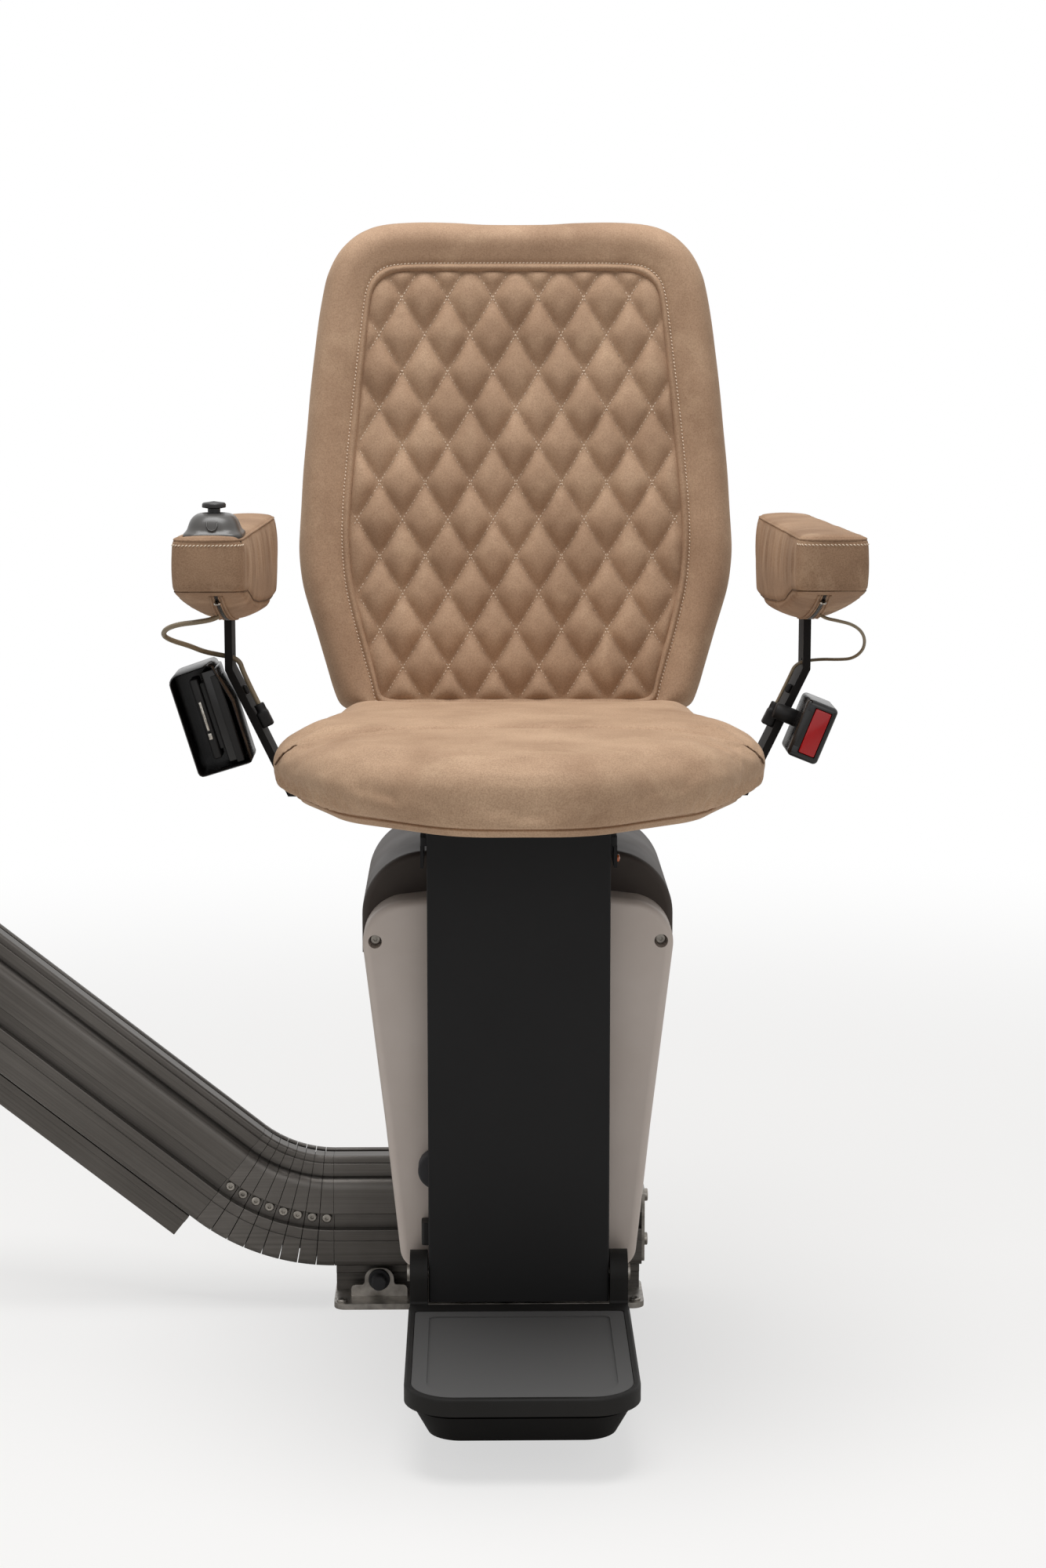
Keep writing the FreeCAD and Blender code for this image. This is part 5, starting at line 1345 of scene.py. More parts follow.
# Right halves of the backrest's outlines, across and up along it: the border's edge and the quilt's.
BACK_OUTER = (
    (0.080, -0.0075), (0.150, -0.0072), (0.166, -0.0062), (0.1735, -0.0015), (0.1768, 0.005), (0.1812, 0.0175),
    (0.1865, 0.036), (0.192, 0.055), (0.1975, 0.074), (0.2035, 0.0935), (0.209, 0.113), (0.212, 0.132),
    (0.2133, 0.151), (0.2125, 0.170), (0.2112, 0.190), (0.2089, 0.228), (0.2053, 0.266), (0.2018, 0.305),
    (0.1974, 0.343), (0.1924, 0.381), (0.1865, 0.412), (0.1827, 0.4235), (0.1773, 0.435), (0.1692, 0.4465),
    (0.1564, 0.458), (0.1449, 0.464), (0.1368, 0.467), (0.1205, 0.4698), (0.092, 0.4712), (0.058, 0.4705),
    (0.028, 0.4688),
)
BACK_INNER = (
    (0.060, 0.003), (0.110, 0.003), (0.124, 0.0034), (0.1315, 0.0058), (0.1345, 0.0115), (0.1367, 0.023),
    (0.1412, 0.040), (0.1503, 0.074), (0.1590, 0.112), (0.1618, 0.135), (0.1630, 0.160), (0.1622, 0.185),
    (0.1588, 0.226), (0.1512, 0.303), (0.1450, 0.364), (0.1415, 0.392), (0.1365, 0.4065), (0.1260, 0.4165),
    (0.1140, 0.4200), (0.0900, 0.4212), (0.045, 0.4210),
)
# The border's section next to the quilt, as distance out and depth: the rolled edge and its stitched channel.
ROLLED_EDGE = (
    (-0.0015, 0.0085), (-0.001, 0.003), (0.0002, -0.0008), (0.0018, -0.0024), (0.0036, -0.0028),
    (0.0052, -0.0020), (0.0064, -0.0004), (0.0072, 0.0002), (0.0082, -0.0006), (0.0105, -0.0022),
)
# The rest of it, as a share of the width that is left, and depth: the soft crown, the side and the back.
CROWN_DEEP = 0.040
BORDER_CROWN = (
    (0.25, -0.0044), (0.38, -0.0056), (0.52, -0.0058), (0.64, -0.0046), (0.74, -0.0022), (0.82, 0.0010),
    (0.89, 0.0056), (0.945, 0.0110), (0.98, 0.0170), (1.0, 0.0240), (0.995, 0.031), (0.975, 0.0372),
    (0.93, CROWN_DEEP), (0.5, CROWN_DEEP),
)


@dataclass
class Backrest:
    """The leaning backrest: a plain border round a diamond-quilted panel."""

    hinge: Point2 = (-0.080, 0.635)
    lean_deg: float = 7.4
    centre: Point2 = (0.0, 0.220)
    rays: int = 300
    diamond: Point2 = (0.0444, 0.072)
    row: float = 0.107
    puff: float = 0.0090
    roundness: float = 2.6
    gather: float = 0.00032
    gather_reach: float = 0.0045
    cell: float = 0.0022
    quilt_half: float = 0.172
    quilt_tall: float = 0.43
    stitch_line: float = 0.0030
    quilt_back: float = 0.0085

    def spot(self) -> Matrix:
        """The backrest's own frame: X across, Y into the back, Z up along it."""
        return Matrix.Translation((0, *self.hinge)) @ Matrix.Rotation(math.radians(-self.lean_deg), 4, "X")

    def outer(self) -> list[Point2]:
        """The border's outline, with its waist below the widest place and a dip in its top edge."""
        return smooth_loop(both_sides(BACK_OUTER))

    def inner(self, grow: float = 0.0) -> list[Point2]:
        """The quilt's outline, moved outwards by a little.

        Args:
            grow: How far.

        Returns:
            The outline.
        """
        loop = smooth_loop(both_sides(BACK_INNER))
        middle = self.centre[1]
        return [(x + grow * math.copysign(min(1.0, abs(x) / 0.05), x),
                 z + grow * (1 if z > middle else -1) * min(1.0, abs(z - middle) / 0.15)) for x, z in loop]

    def border(self) -> bpy.types.Object:
        """The border: a rolled edge round the quilt, a stitched channel, a soft crown and the sides.

        Returns:
            The border's object.
        """
        angles = even_angles(self.outer(), self.centre, self.rays)
        near = [Vector((x, 0, z)) for x, z in ray_ring(self.inner(), self.centre, angles)]
        far = [Vector((x, 0, z)) for x, z in ray_ring(self.outer(), self.centre, angles)]

        def ring(reach: Callable[[float], float], deep: float) -> list[Vector]:
            """One ring at a depth, moved out from the quilt by a reach that may follow the border's width."""
            moved = []
            for a, b in zip(near, far):
                p = a + (b - a).normalized() * reach((b - a).length)
                p.y = deep
                moved.append(p)
            return moved

        rings = [ring(lambda wide, out=out: out, deep) for out, deep in ROLLED_EDGE]
        edge = ROLLED_EDGE[-1][0]
        for share, deep in BORDER_CROWN:
            crown = ring(lambda wide, share=share: edge + (wide - edge) * share, deep)
            if deep < 0.03:
                for p in crown:
                    p.y += 0.0010 * ripple(p, 0.06, 3) + 0.0004 * ripple(p, 0.02, 8)
            rings.append(crown)
        piece = Form().rings(rings, Ring.OPEN, Ring.OPEN).thing("backrest_border")
        subdivided(piece)
        piece.data.transform(self.spot())
        return piece

    def pillow(self, x: float, z: float) -> float:
        """How far the quilt stands out at a place, from its stitch lines to its diamonds' tops.

        Args:
            x: Across the backrest.
            z: Up along it.

        Returns:
            The height in metres.
        """
        u = x / self.diamond[0] - (z - self.row) / self.diamond[1]
        v = x / self.diamond[0] + (z - self.row) / self.diamond[1]
        fu = (u - 0.5) % 1.0
        fv = (v - 0.5) % 1.0
        rise = (1 - abs(2 * fu - 1) ** self.roundness) * (1 - abs(2 * fv - 1) ** self.roundness)
        # Small gathers stand across each stitch line, and die away within a few millimetres of it.
        across = math.prod(self.diamond) / math.hypot(*self.diamond)
        gathers = 0.0
        for f, along in ((fu, v), (fv, u)):
            close = math.exp(-min(f, 1 - f) * across / self.gather_reach)
            gathers += self.gather * close * math.sin(along * 2 * math.pi * 6.0 + 2 * math.sin(along * 5))
        # Each diamond stands a little higher or lower than the next.
        own = 1 + 0.13 * math.sin(math.floor(u - 0.5) * 12.9 + math.floor(v - 0.5) * 78.2)
        soft = 0.0005 * ripple(Vector((x, 0, z)), 0.016, 4) * rise
        return self.puff * rise * own + gathers * (1 - rise) + soft

    def quilt(self) -> bpy.types.Object:
        """The quilted panel, cut to its outline, with a flat back.

        Returns:
            The panel's object.
        """
        outline = self.inner(0.0012)
        angles = even_angles(outline, self.centre, 720)
        edge = ray_ring(outline, self.centre, angles)
        by_angle = sorted(zip(angles, (math.dist(e, self.centre) for e in edge)))
        keys = [angle for angle, _ in by_angle]

        def reach(x: float, z: float) -> float:
            """Distance from the centre over the outline's distance in the same direction."""
            angle = math.atan2(z - self.centre[1], x - self.centre[0])
            high = max(1, min(bisect_left(keys, angle), len(keys) - 1))
            a, b = by_angle[high - 1], by_angle[high]
            t = (angle - a[0]) / ((b[0] - a[0]) or 1)
            return math.dist((x, z), self.centre) / (a[1] + (b[1] - a[1]) * max(0.0, min(1.0, t)))

        form = Form()
        numbers: dict[tuple[int, int], int] = {}
        wide = int(self.quilt_half / self.cell) + 1
        tall = int(self.quilt_tall / self.cell) + 1

        def point(i: int, j: int) -> int:
            """The grid's point, pulled in to the outline where it lies outside."""
            if (i, j) not in numbers:
                x, z = i * self.cell, j * self.cell
                far = reach(x, z)
                if far > 1:
                    x = self.centre[0] + (x - self.centre[0]) / far
                    z = self.centre[1] + (z - self.centre[1]) / far
                gap = max(0.0, 1 - min(far, 1.0)) * 0.19
                rim = 1 - math.exp(-gap / 0.006)
                y = self.stitch_line - self.pillow(x, z) * rim
                numbers[i, j] = len(form.points)
                form.points.append(Vector((x, y, z)))
            return numbers[i, j]

        for i in range(-wide, wide):
            for j in range(0, tall):
                corners = ((i, j), (i + 1, j), (i + 1, j + 1), (i, j + 1))
                if any(reach(a * self.cell, b * self.cell) < 0.9999 for a, b in corners):
                    form.faces.append(tuple(point(a, b) for a, b in corners))
        piece = form.thing("backrest_quilting")
        thick = bmesh.new()
        thick.from_mesh(piece.data)
        bmesh.ops.remove_doubles(thick, verts=thick.verts, dist=0.00005)
        rim = [e for e in thick.edges if e.is_boundary]
        grown = bmesh.ops.extrude_edge_only(thick, edges=rim)
        for vertex in (g for g in grown["geom"] if isinstance(g, bmesh.types.BMVert)):
            vertex.co.y = self.quilt_back
        back = [e for e in thick.edges if e.is_boundary]
        bmesh.ops.contextual_create(thick, geom=back)
        bmesh.ops.recalc_face_normals(thick, faces=thick.faces)
        thick.to_mesh(piece.data)
        thick.free()
        piece.data.shade_smooth()
        piece.data.transform(self.spot())
        return piece

    def stitches(self) -> bpy.types.Object:
        """The thread along both families of stitch lines and round the border.

        Returns:
            The stitches' object.
        """
        form = Form()
        run = Vector((self.diamond[0], 0, self.diamond[1])).normalized()

        def front(p: Vector) -> Vector:
            """The quilt's outward direction."""
            return Vector((0, -1, 0))

        outline = self.inner(-0.004)
        angles = even_angles(outline, self.centre, 360)
        ring = ray_ring(outline, self.centre, angles)
        edge = sorted((angle, math.dist(end, self.centre)) for angle, end in zip(angles, ring))

        def inside(p: Vector) -> bool:
            """Whether a place lies within the quilt's outline."""
            angle = math.atan2(p.z - self.centre[1], p.x - self.centre[0])
            nearest = min(edge, key=lambda pair: abs(pair[0] - angle))
            return math.dist((p.x, p.z), self.centre) < nearest[1]

        sewing = Stitching(2.5, 3.7, 1.0)
        pitch = sewing.pitch_mm * MM
        for lean in (-1, 1):
            along = Vector((run.x * lean, 0, run.z))
            for k in range(-9, 10):
                start = Vector(((k + 0.5) * self.diamond[0], 0, self.row)) - along * 0.6
                places = []
                for i in range(int(1.2 / pitch)):
                    p = start + along * (i * pitch)
                    if abs(p.x) < self.quilt_half and -0.01 < p.z < self.quilt_tall and inside(p):
                        p.y = self.stitch_line - 0.0002
                        places.append((p, along))
                sewing.sew(form, places, front)
        outline = self.inner()
        angles = even_angles(outline, self.centre, 500)
        near, far = (ray_ring(edge_of, self.centre, angles) for edge_of in (outline, self.outer()))
        line = []
        for (x, z), b in zip(near, far):
            out = (Vector(b) - Vector((x, z))).normalized() * 0.0074
            line.append(Vector((x + out.x, -0.0004, z + out.y)))
        round_border = Stitching(2.3, 3.5, 1.05, 20)
        round_border.sew(form, walk(line, round_border.pitch_mm * MM, True), front)
        piece = form.thing("backrest_stitches")
        piece.data.transform(self.spot())
        return piece

    def build(self) -> None:
        """Makes the border, the quilt and the stitches."""
        border = self.border()
        dressed(border, NUBUCK_BACK_SHADED, "chair", "backrest_cushion")
        quilt = self.quilt()
        dressed(quilt, NUBUCK_BACK_SHADED, "chair", "backrest_quilt")
        dressed(self.stitches(), THREAD, "chair")


@dataclass(frozen=True)
class PadStation:
    """One cross-section of a pad: its place from the front, draw-in, the lower edges' drops and the keel."""

    along: float
    inset: float
    inner_drop: float
    outer_drop: float
    keel: float


PAD_STATIONS = tuple(PadStation(*(value * MM for value in row)) for row in (
    (0, 11, 1.5, 1.5, 0), (0.8, 8.5, 0.8, 0.8, 0), (2.4, 5.0, 0.3, 0.3, 0), (5.5, 1.8, -0.5, -0.5, 0.5),
    (11, 0.2, -2.5, -2.5, 1), (20, 0, -5.5, -5.5, 2), (30, 0, -8, -8, 3), (43, 0, -11.5, -11.5, 4.5),
    (63, 0, -16, -16, 6), (83, 0, -20, -20, 7.5), (105, 0, -24, -24, 8.5),
    (128, 0, -27, -28, 9.5), (153, 0, -29, -30.5, 10), (178, 0, -30, -32, 10), (200, 0, -31, -32, 10),
    (218, 0, -31, -31, 9), (229, 0, -30.5, -25, 5.5), (240, 0, -30, -19, 2.5), (261, 0, -30, -9, 0.8),
    (273, 1, -29, -7, 0.5), (279, 5, -25, -5, 0.3), (283, 12, -20, -1, 0.1)))


@dataclass
class ArmPad:
    """One arm pad: a leather form with a piped top, a stitched front and a zipped keel round its bar."""

    side: Side
    front: float = -0.383
    back: float = -0.100
    inner: Point2 = (0.243, 0.230)
    outer: Point2 = (0.306, 0.283)
    low: float = 0.773
    high: float = 0.822
    zip_x: float = 0.2675
    bar_rooms: tuple[tuple[Corner, Corner], ...] = (
        ((0.2645, -0.2075, 0.70), (0.2775, -0.08, 0.7718)), ((0.2505, -0.1385, 0.70), (0.2775, -0.08, 0.7718)))
    housing_room: tuple[Corner, Corner] = ((0.2442, -0.3752, 0.8115), (0.2958, -0.3148, 0.86))
    corner: Point2 = (0.0030, 0.0055)
    rays: int = 96
    seam: tuple[Point2, ...] = ((-0.383, 0.7735), (-0.345, 0.7715), (-0.322, 0.7650), (-0.300, 0.7585),
                                (-0.260, 0.7530), (-0.200, 0.7480), (-0.150, 0.7455), (-0.100, 0.7455))

    def sides(self, y: float, inset: float = 0.0) -> Point2:
        """The inner and outer edge at a place along the pad.

        Args:
            y: The place.
            inset: How far both draw in.

        Returns:
            The two X values.
        """
        share = (y - self.front) / (self.back - self.front)
        return (self.inner[0] + (self.inner[1] - self.inner[0]) * share + inset,
                self.outer[0] + (self.outer[1] - self.outer[0]) * share - inset)

    def section(self, station: PadStation) -> list[Vector]:
        """One closed cross-section with rounded corners, bulged sides and its keel.

        Args:
            station: The cross-section's sizes.

        Returns:
            Its points.
        """
        y = self.front + station.along
        inner, outer = self.sides(y, station.inset)
        high = self.high - 0.0012 - station.inset * 0.28
        low_in, low_out = self.low + station.inner_drop, self.low + station.outer_drop
        below, above = self.corner
        shape = rounded_outline([(inner, low_in, below), (outer, low_out, below), (outer, high, above),
                                 (inner, high, above)], 6)
        centre = ((inner + outer) / 2, (max(low_in, low_out) + high) / 2)
        points = []
        for x, z in ray_ring(shape, centre, [2 * math.pi * i / self.rays for i in range(self.rays)]):
            across = 2 * (x - centre[0]) / (outer - inner)
            tall = (z - min(low_in, low_out)) / (high - min(low_in, low_out))
            bulge = 0.0012 * math.sin(math.pi * max(0.0, min(1.0, tall)))
            crown = 0.0022 * (1 - across ** 2) * max(0.0, tall * 2 - 1)
            sag = station.keel * (1 - across ** 2) * max(0.0, 1 - tall * 2)
            points.append(Vector((x + bulge * across, y, z + crown - sag)))
        return points

    def seam_z(self, y: float) -> float:
        """How high the lower seam runs at a place along the pad.

        Args:
            y: The place.

        Returns:
            The height.
        """
        return between(self.seam, y)[0]

    def body(self) -> bpy.types.Object:
        """The stuffed form, for the right side.

        Returns:
            The pad's object.
        """
        form = Form().rings([self.section(station) for station in PAD_STATIONS])
        piece = form.thing(f"arm_pad_{self.side.word}_leather")

        def held(p: Vector) -> bool:
            """Whether a point lies on the lower seam, at the welt or on the keel's bottom."""
            return abs(p.z - self.seam_z(p.y)) < 0.0024 or p.z > self.high - 0.0035 or p.z < self.low - 0.034

        Stuffing(0.0038, 6.0, 0.0024).fill(piece, held)
        for vertex in piece.data.vertices:
            self.crease(vertex.co)
        return piece

    def crease(self, p: Vector) -> None:
        """Moves one point for the lower seam, the inner side's upright creases and the soft top."""
        drawn = 0.0008 * math.exp(-((p.z - self.seam_z(p.y)) / 0.0020) ** 2)
        p.x -= math.copysign(drawn, p.x - self.zip_x)
        if p.y < self.front + 0.012:
            p.y += drawn
        if p.x < 0.254 and self.low < p.z < self.high - 0.008:
            share = math.sin(math.pi * (p.z - self.low) / (self.high - self.low))
            p.x += 0.0005 * share * (math.sin(p.y / 0.0042) + 0.7 * math.sin(p.y / 0.0025 + 1))
        if p.z > self.high - 0.004:
            p.z += 0.0004 * ripple(p, 0.03, 3)
        else:
            p += Vector((0.5, 0.5, 0)) * 0.0005 * ripple(p, 0.02, 7)

    def slotted(self, piece: bpy.types.Object) -> None:
        """Opens the keel round the bar, and the top round the joystick on the left."""
        for room in self.bar_rooms:
            carved(piece, block("bar_room", *room))
        if self.side is Side.LEFT:
            carved(piece, block("housing_room", *self.housing_room))

    def loop(self, z: float, step: float = 0.0016) -> list[Vector]:
        """Starts outside the pad, all round it at one height, for laying a line on its sides.

        Args:
            z: The height.
            step: The distance from start to start.

        Returns:
            The starts.
        """
        corners = [(self.inner[0], self.front), (self.outer[0], self.front),
                   (self.outer[1], self.back), (self.inner[1], self.back)]
        shape = rounded_outline([(x, y, 0.010) for x, y in corners], 10)
        line = [Vector((x, y, z)) for x, y in shape]
        return [spot for spot, _ in walk(line, step, True)]

    def seams(self, skin: Skin) -> tuple[bpy.types.Object, bpy.types.Object]:
        """The welt round the top, and the turned edge of the lower seam, in leather painted dark as the seam's
        shade.

        Args:
            skin: The pad's surface.

        Returns:
            Both pieces.
        """
        def inward(start: Vector) -> Vector:
            """From a start straight in to the pad's spine, at the start's height."""
            spine = Vector((self.zip_x, min(max(start.y, self.front + 0.03), self.back - 0.03), start.z))
            return (spine - start).normalized()

        def swung(z_of: Callable[[float], float]) -> list[Vector]:
            """Starts a little way outside the pad, at heights that may change along it."""
            starts = []
            for spot in self.loop(0.0):
                spot.z = z_of(spot.y)
                starts.append(spot - inward(spot) * 0.02)
            return starts

        welt = tube_form(skin.line(swung(lambda y: self.high - 0.0034), inward, 0.0), 0.0011, 8, True)
        line = skin.line(swung(self.seam_z), inward, -0.0001)
        # The fold leaves out the opening for the bar, so it starts where that ends.
        (low_x, _, _), (high_x, _, _) = self.bar_rooms[1]
        at_bar = [low_x - 0.001 < p.x < high_x + 0.001 and p.y > self.back - 0.06 for p in line]
        start = next(i for i in range(len(line)) if at_bar[i - 1] and not at_bar[i])
        kept = [line[i - len(line)] for i in range(start, start + len(line)) if not at_bar[i - len(line)]]
        fold = tube_form(kept, 0.0008, 6)
        return welt.thing(f"pad_welt_{self.side.word}"), fold.thing(f"pad_seam_shade_{self.side.word}")

    def stitches(self, skin: Skin) -> bpy.types.Object:
        """The slanted stitches just under the welt, along the front.

        Args:
            skin: The pad's surface.

        Returns:
            The stitches.
        """
        starts = [Vector((self.inner[0] - 0.001 + 0.00055 * i, self.front - 0.02, self.high - 0.0078))
                  for i in range(116)]
        row = skin.line(starts, lambda start: Vector((0, 1, 0)), 0.0002)
        row = [spot for spot in row if spot.y < self.front + 0.012]
        sewing = Stitching(2.9, 3.3, 1.0, -28)
        form = sewing.sew(Form(), walk(row, sewing.pitch_mm * MM), skin.outward)
        return form.thing(f"pad_stitches_{self.side.word}")

    def zip(self, skin: Skin) -> tuple[bpy.types.Object, bpy.types.Object]:
        """The flaps along the keel, and the zip's coil between them.

        Args:
            skin: The pad's surface.

        Returns:
            The flaps and the coil.
        """
        flaps, coil = Form(), Form()
        for form, near, far, radius in ((flaps, -0.0050, -0.0072, 0.0011), (flaps, 0.0050, 0.0072, 0.0011),
                                        (flaps, -0.0022, -0.0036, 0.0008), (flaps, 0.0022, 0.0036, 0.0008),
                                        (coil, -0.0007, -0.0007, 0.0008), (coil, 0.0007, 0.0007, 0.0008)):
            starts = [Vector((self.zip_x + near + (far - near) * t, self.front + 0.012 + 0.155 * t, 0.69))
                      for t in (i / 60 for i in range(61))]
            tube_form(skin.line(starts, lambda start: Vector((0, 0, 1)), 0.0002), radius, 6, form=form)
        return flaps.thing(f"pad_flaps_{self.side.word}"), coil.thing(f"pad_zip_{self.side.word}")

    def slider(self, skin: Skin) -> bpy.types.Object:
        """The zip's bright slider with its pull, near the front.

        Args:
            skin: The pad's surface.

        Returns:
            The slider.
        """
        low = skin.cast(Vector((self.zip_x, self.front + 0.027, 0.69)), Vector((0, 0, 1)), 0.0012)
        spot = Matrix.Translation(low) @ Matrix.Rotation(math.radians(-70), 4, "X")
        name = f"zip_slider_{self.side.word}"
        body = block(name, (-0.0030, -0.0012, -0.0036), (0.0030, 0.0012, 0.0036), 0.0008, spot)
        pull = block("pull", (-0.0016, -0.0026, -0.0088), (0.0016, -0.0014, -0.0008), 0.0005, spot)
        joined = bmesh.new()
        joined.from_mesh(body.data)
        joined.from_mesh(pull.data)
        joined.to_mesh(body.data)
        joined.free()
        bpy.data.objects.remove(pull)
        body.data.shade_smooth()
        return body

    def flip(self, piece: bpy.types.Object) -> None:
        """Mirrors a right-hand piece for the left side."""
        if self.side is Side.LEFT:
            piece.data.transform(Matrix.Scale(-1, 4, (1, 0, 0)))
            piece.data.flip_normals()

    def build(self) -> None:
        """Makes the pad and everything sewn on it, mirrored on the left."""
        piece = self.body()
        skin = Skin.of(piece)
        welt, fold = self.seams(skin)
        trim = ((welt, NUBUCK_ARM_SHADED), (fold, NUBUCK_SEAM_SHADE), (self.stitches(skin), THREAD),
                (self.slider(skin), NICKEL), *zip(self.zip(skin), (NUBUCK_ARM_SHADED, STEM_BLACK)))
        self.slotted(piece)
        piece.data.shade_smooth()
        self.flip(piece)
        body = f"arm_{self.side.word}"
        dressed(piece, NUBUCK_ARM_SHADED, body, f"arm_pad_{self.side.word}")
        for thing, finish in trim:
            self.flip(thing)
            dressed(thing, finish, body)


@dataclass
class Joystick:
    """The satin grey bell on the left pad, under the stick and its knob."""

    spot: Corner = (-0.270, -0.345, 0.812)
    rays: int = 72
    longer: float = 1.15
    levels: tuple[Corner, ...] = (
        (0.0255, 0.0, 0.012), (0.0262, 0.0080, 0.012), (0.0262, 0.0108, 0.012), (0.0250, 0.0120, 0.013),
        (0.0236, 0.0134, 0.014), (0.0226, 0.0158, 0.0155), (0.0216, 0.0195, 0.016), (0.0200, 0.0230, 0.016),
        (0.0176, 0.0258, 0.015), (0.0146, 0.0274, 0.013), (0.0115, 0.0282, 0.011), (0.0100, 0.0280, 0.0098),
        (0.0094, 0.0255, 0.0092), (0.0092, 0.010, 0.009))
    line: tuple[Point2, ...] = (
        (-0.0042, 0.0265), (-0.0046, 0.0222), (-0.0044, 0.0180), (-0.0030, 0.0152), (0.0, 0.0143),
        (0.0030, 0.0152), (0.0044, 0.0180), (0.0046, 0.0222), (0.0042, 0.0265))

    def build(self) -> None:
        """Makes the bell from levels of half width, height and corner radius, and its raised outline."""
        angles = [2 * math.pi * i / self.rays for i in range(self.rays)]
        rings = []
        for half, up, corner in self.levels:
            deep = half * (self.longer if half > 0.0115 else 1.0)
            base = ((-half, -deep), (half, -deep), (half, deep), (-half, deep))
            shape = rounded_outline([(x, y, corner) for x, y in base], 10)
            rings.append([Vector((self.spot[0] + x, self.spot[1] + y, self.spot[2] + up))
                          for x, y in ray_ring(shape, (0, 0), angles)])
        bell = subdivided(Form().rings(rings).thing("joystick_bell"), 2)
        dressed(bell, DOME_GREY, "arm_left", "joystick_housing")
        raised = []
        for x, up in self.line:
            half = 0.0262 - max(0.0, up - 0.0105) * 0.30 - max(0.0, up - 0.0195) * 0.75
            raised.append(Vector(self.spot) + Vector((x, 0.0010 - half * self.longer, up)))
        outline = tube_form(raised, 0.0006, 6).thing("joystick_raised_outline")
        dressed(outline, DOME_GREY, "arm_left")


@dataclass
class BeltReel:
    """The belt's retractor on the left bar: a curved open shell, its works, the webbing and the tongue."""

    at: Corner = (-0.287, -0.200, 0.640)
    tilt_deg: float = 17.0
    rays: int = 96
    outside: tuple[Corner, ...] = ((-0.026, -0.050, 0.005), (0.026, -0.050, 0.003), (0.026, 0.010, 0),
                                   (0.017, 0.050, 0.004), (-0.026, 0.0485, 0.009))
    inside: tuple[Corner, ...] = ((-0.0240, -0.0480, 0.0035), (0.0240, -0.0480, 0.0015), (0.0240, 0.010, 0),
                                  (0.0155, 0.0480, 0.003), (-0.0240, 0.0465, 0.0078))

    def spot(self) -> Matrix:
        """The reel's leaning frame."""
        return Matrix.Translation(self.at) @ Matrix.Rotation(math.radians(-self.tilt_deg), 4, "Y")

    def shell(self) -> bpy.types.Object:
        """The black shell, open to the front.

        Returns:
            The shell's object.
        """
        outer, inner = rounded_outline(self.outside, 6), rounded_outline(self.inside, 6)
        angles = even_angles(outer, (0, 0), self.rays)
        out = ray_ring(outer, (0, 0), angles)
        hole = ray_ring(inner, (0, 0), angles)

        def level(ring: Sequence[Point2], y: float, swell: float = 1.0) -> list[Vector]:
            """One ring of the shell."""
            return [Vector((x * swell, y, z * swell)) for x, z in ring]

        lip = [((a[0] + b[0]) / 2, (a[1] + b[1]) / 2) for a, b in zip(out, hole)]
        rings = [level(hole, 0.0285), level(hole, -0.0305), level(lip, -0.032), level(out, -0.0305),
                 level(out, 0.026), level(out, 0.0305, 0.97), level(out, 0.032, 0.90)]
        piece = Form().rings(rings).thing("reel_shell")
        piece.data.shade_smooth()
        piece.data.set_sharp_from_angle(angle=math.radians(48))
        piece.data.transform(self.spot())
        return piece

    def works(self) -> None:
        """The reel's housing beside the bar, the rolled webbing and the tongue seen edge-on."""
        spot = self.spot()
        rows = (
            ("reel_works", (0.0052, -0.0285, -0.044), (0.0205, 0.029, 0.044), 0.0016, GLOSS_BLACK,
             "belt_reel_housing"),
            ("reel_ledge", (0.0125, -0.0300, -0.046), (0.0195, -0.0255, 0.038), 0.0009, BLACK_PP),
            ("reel_webbing", (0.0004, -0.0235, -0.030), (0.0050, 0.0215, 0.034), 0.0012, WEBBING,
             "belt_webbing"),
            ("tongue_grip", (-0.0080, -0.0270, -0.038), (0.0, 0.002, 0.040), 0.0022, BLACK_PP, "belt_tongue"),
            ("tongue_blade", (-0.0052, -0.0308, -0.010), (-0.0028, -0.0262, 0.018), 0.0005, NICKEL),
            ("tongue_catch", (-0.0060, -0.0306, -0.0185), (-0.0024, -0.0262, -0.0125), 0.0006, NICKEL),
        )
        for name, low, high, bevel, finish, *nodes in rows:
            dressed(block(name, low, high, bevel, self.spot()), finish, "chair", *nodes)

    def build(self) -> None:
        """Makes the reel."""
        dressed(self.shell(), GLOSS_BLACK, "chair", "belt_reel_cover")
        self.works()


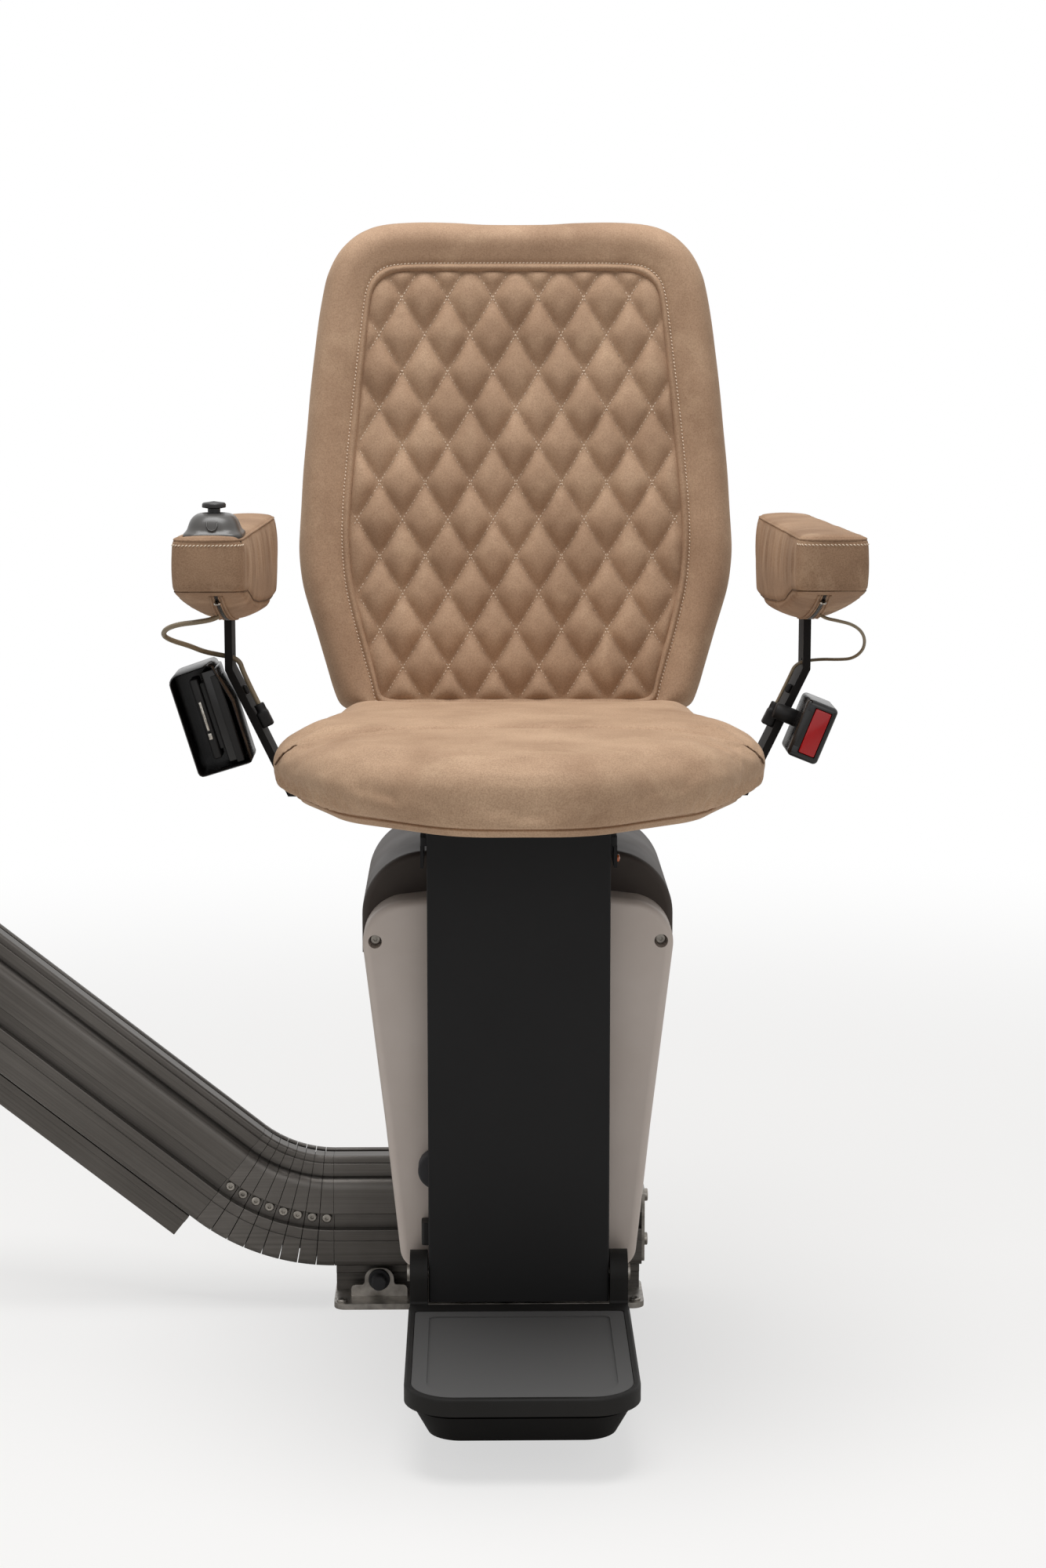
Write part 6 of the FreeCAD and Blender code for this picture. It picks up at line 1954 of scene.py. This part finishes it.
@dataclass
class Buckle:
    """The belt's buckle on the right bar, with its red release facing forwards."""

    at: Corner = (0.272, -0.225, 0.630)
    tilt_deg: float = 22.0
    stalk: tuple[Point2, ...] = ((0.0070, -0.0345), (0.0078, -0.0337), (0.0078, -0.0150), (0.0070, -0.0135))

    def spot(self) -> Matrix:
        """The buckle's leaning frame."""
        return Matrix.Translation(self.at) @ Matrix.Rotation(math.radians(self.tilt_deg), 4, "Y")

    def build(self) -> None:
        """Makes the body with its framed opening, corner rivets, side slot and button."""
        spot = self.spot()
        body = block("buckle_shell", (-0.0150, -0.0290, -0.0280), (0.0150, 0.0300, 0.0280), 0.0045, None, 5)
        opening = block("opening", (-0.0064, -0.040, -0.0223), (0.0104, -0.0145, 0.0223), 0.0008)
        carved(body, opening)
        slot = block("slot", (-0.020, -0.016, -0.0160), (-0.0135, -0.0105, 0.0160), 0.0006)
        carved(body, slot)
        body.data.shade_smooth()
        body.data.set_sharp_from_angle(angle=math.radians(40))
        body.data.transform(spot)
        dressed(body, GLOSS_BLACK, "chair", "buckle_body")
        button = block("buckle_push", (-0.0058, -0.0293, -0.0218), (0.0098, -0.0200, 0.0218), 0.0012, spot)
        dressed(button, RED, "buckle_release", "buckle_button")
        for z in (-0.0205, 0.0205):
            name = f"buckle_rivet_{'low' if z < 0 else 'high'}"
            rivet = block(name, (-0.0125, -0.0298, z - 0.0030), (-0.0070, -0.0280, z + 0.0030), 0.0008, spot)
            dressed(rivet, STONE, "chair")
        # The stalk's rings, as radius and place along X, run from the bar to the shell.
        axis = Vector((0, 0.018, 0.002))
        rings = [circle(axis + Vector((far, 0, 0)), Vector((0, 0, -1)), Vector((0, 1, 0)), radius, 32)
                 for radius, far in self.stalk]
        stalk = Form().rings(rings).thing("buckle_stalk")
        stalk.data.transform(spot)
        dressed(stalk, BLACK_PP, "chair")


@dataclass
class Metalwork:
    """The rail, carriage, covers and frame, whose CAD forms stay and get their real surfaces."""

    bend: Point2 = (-0.186, 0.274)
    slope_deg: float = 38.5
    core: Point2 = (0.1200, 0.2240)
    core_y: Point2 = (0.006, 0.009)
    core_steps: int = 40
    fitting_voxel: float = 0.0009

    def bend_core(self) -> None:
        """The dark tongue inside the bend, which closes the view through the gaps between its slices."""
        (near, far), (front, back) = self.core, self.core_y
        spots = ((near, front), (far, front), (far, back), (near, back))
        rings = []
        for i in range(self.core_steps + 1):
            angle = math.radians(self.slope_deg * i / self.core_steps)
            down = Vector((-math.sin(angle), 0, -math.cos(angle)))
            rings.append([Vector((self.bend[0], y, self.bend[1])) + down * reach for reach, y in spots])
        dressed(Form().rings(rings).thing("bend_core"), BLACK_PP, "rail")

    def fittings(self) -> None:
        """The glands and clips of the leads, with the soft edges of moulded parts."""
        piece = placed("lead_fittings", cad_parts["cable_fittings"].data.copy())
        grid_of(piece, self.fitting_voxel)
        soft = piece.modifiers.new("soft", "SMOOTH")
        soft.factor = 0.5
        soft.iterations = 9
        applied(piece)
        piece.data.shade_smooth()
        dressed(piece, BLACK_PP, "chair", "cable_fittings")

    def build(self) -> None:
        """Gives every carried-over node its finish, and adds the tongue and the fittings."""
        for name, finish in CARRIED_OVER.items():
            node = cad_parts[name]
            node.data.materials.clear()
            node.data.materials.append(finish.material())
        self.bend_core()
        self.fittings()


def main() -> None:
    """Builds the studio, then the chair from the cords inwards, and reports each piece."""
    logging.basicConfig(level=logging.INFO, format="%(message)s")
    parts: tuple[object, ...] = (
        Studio(), *LEADS, Metalwork(), SeatCushion(), Backrest(), ArmPad(Side.LEFT), ArmPad(Side.RIGHT),
        Joystick(), BeltReel(), Buckle(),
    )
    for part in parts:
        part.build()
        log.info("built %s", type(part).__name__)


if __name__ == "__main__":
    main()
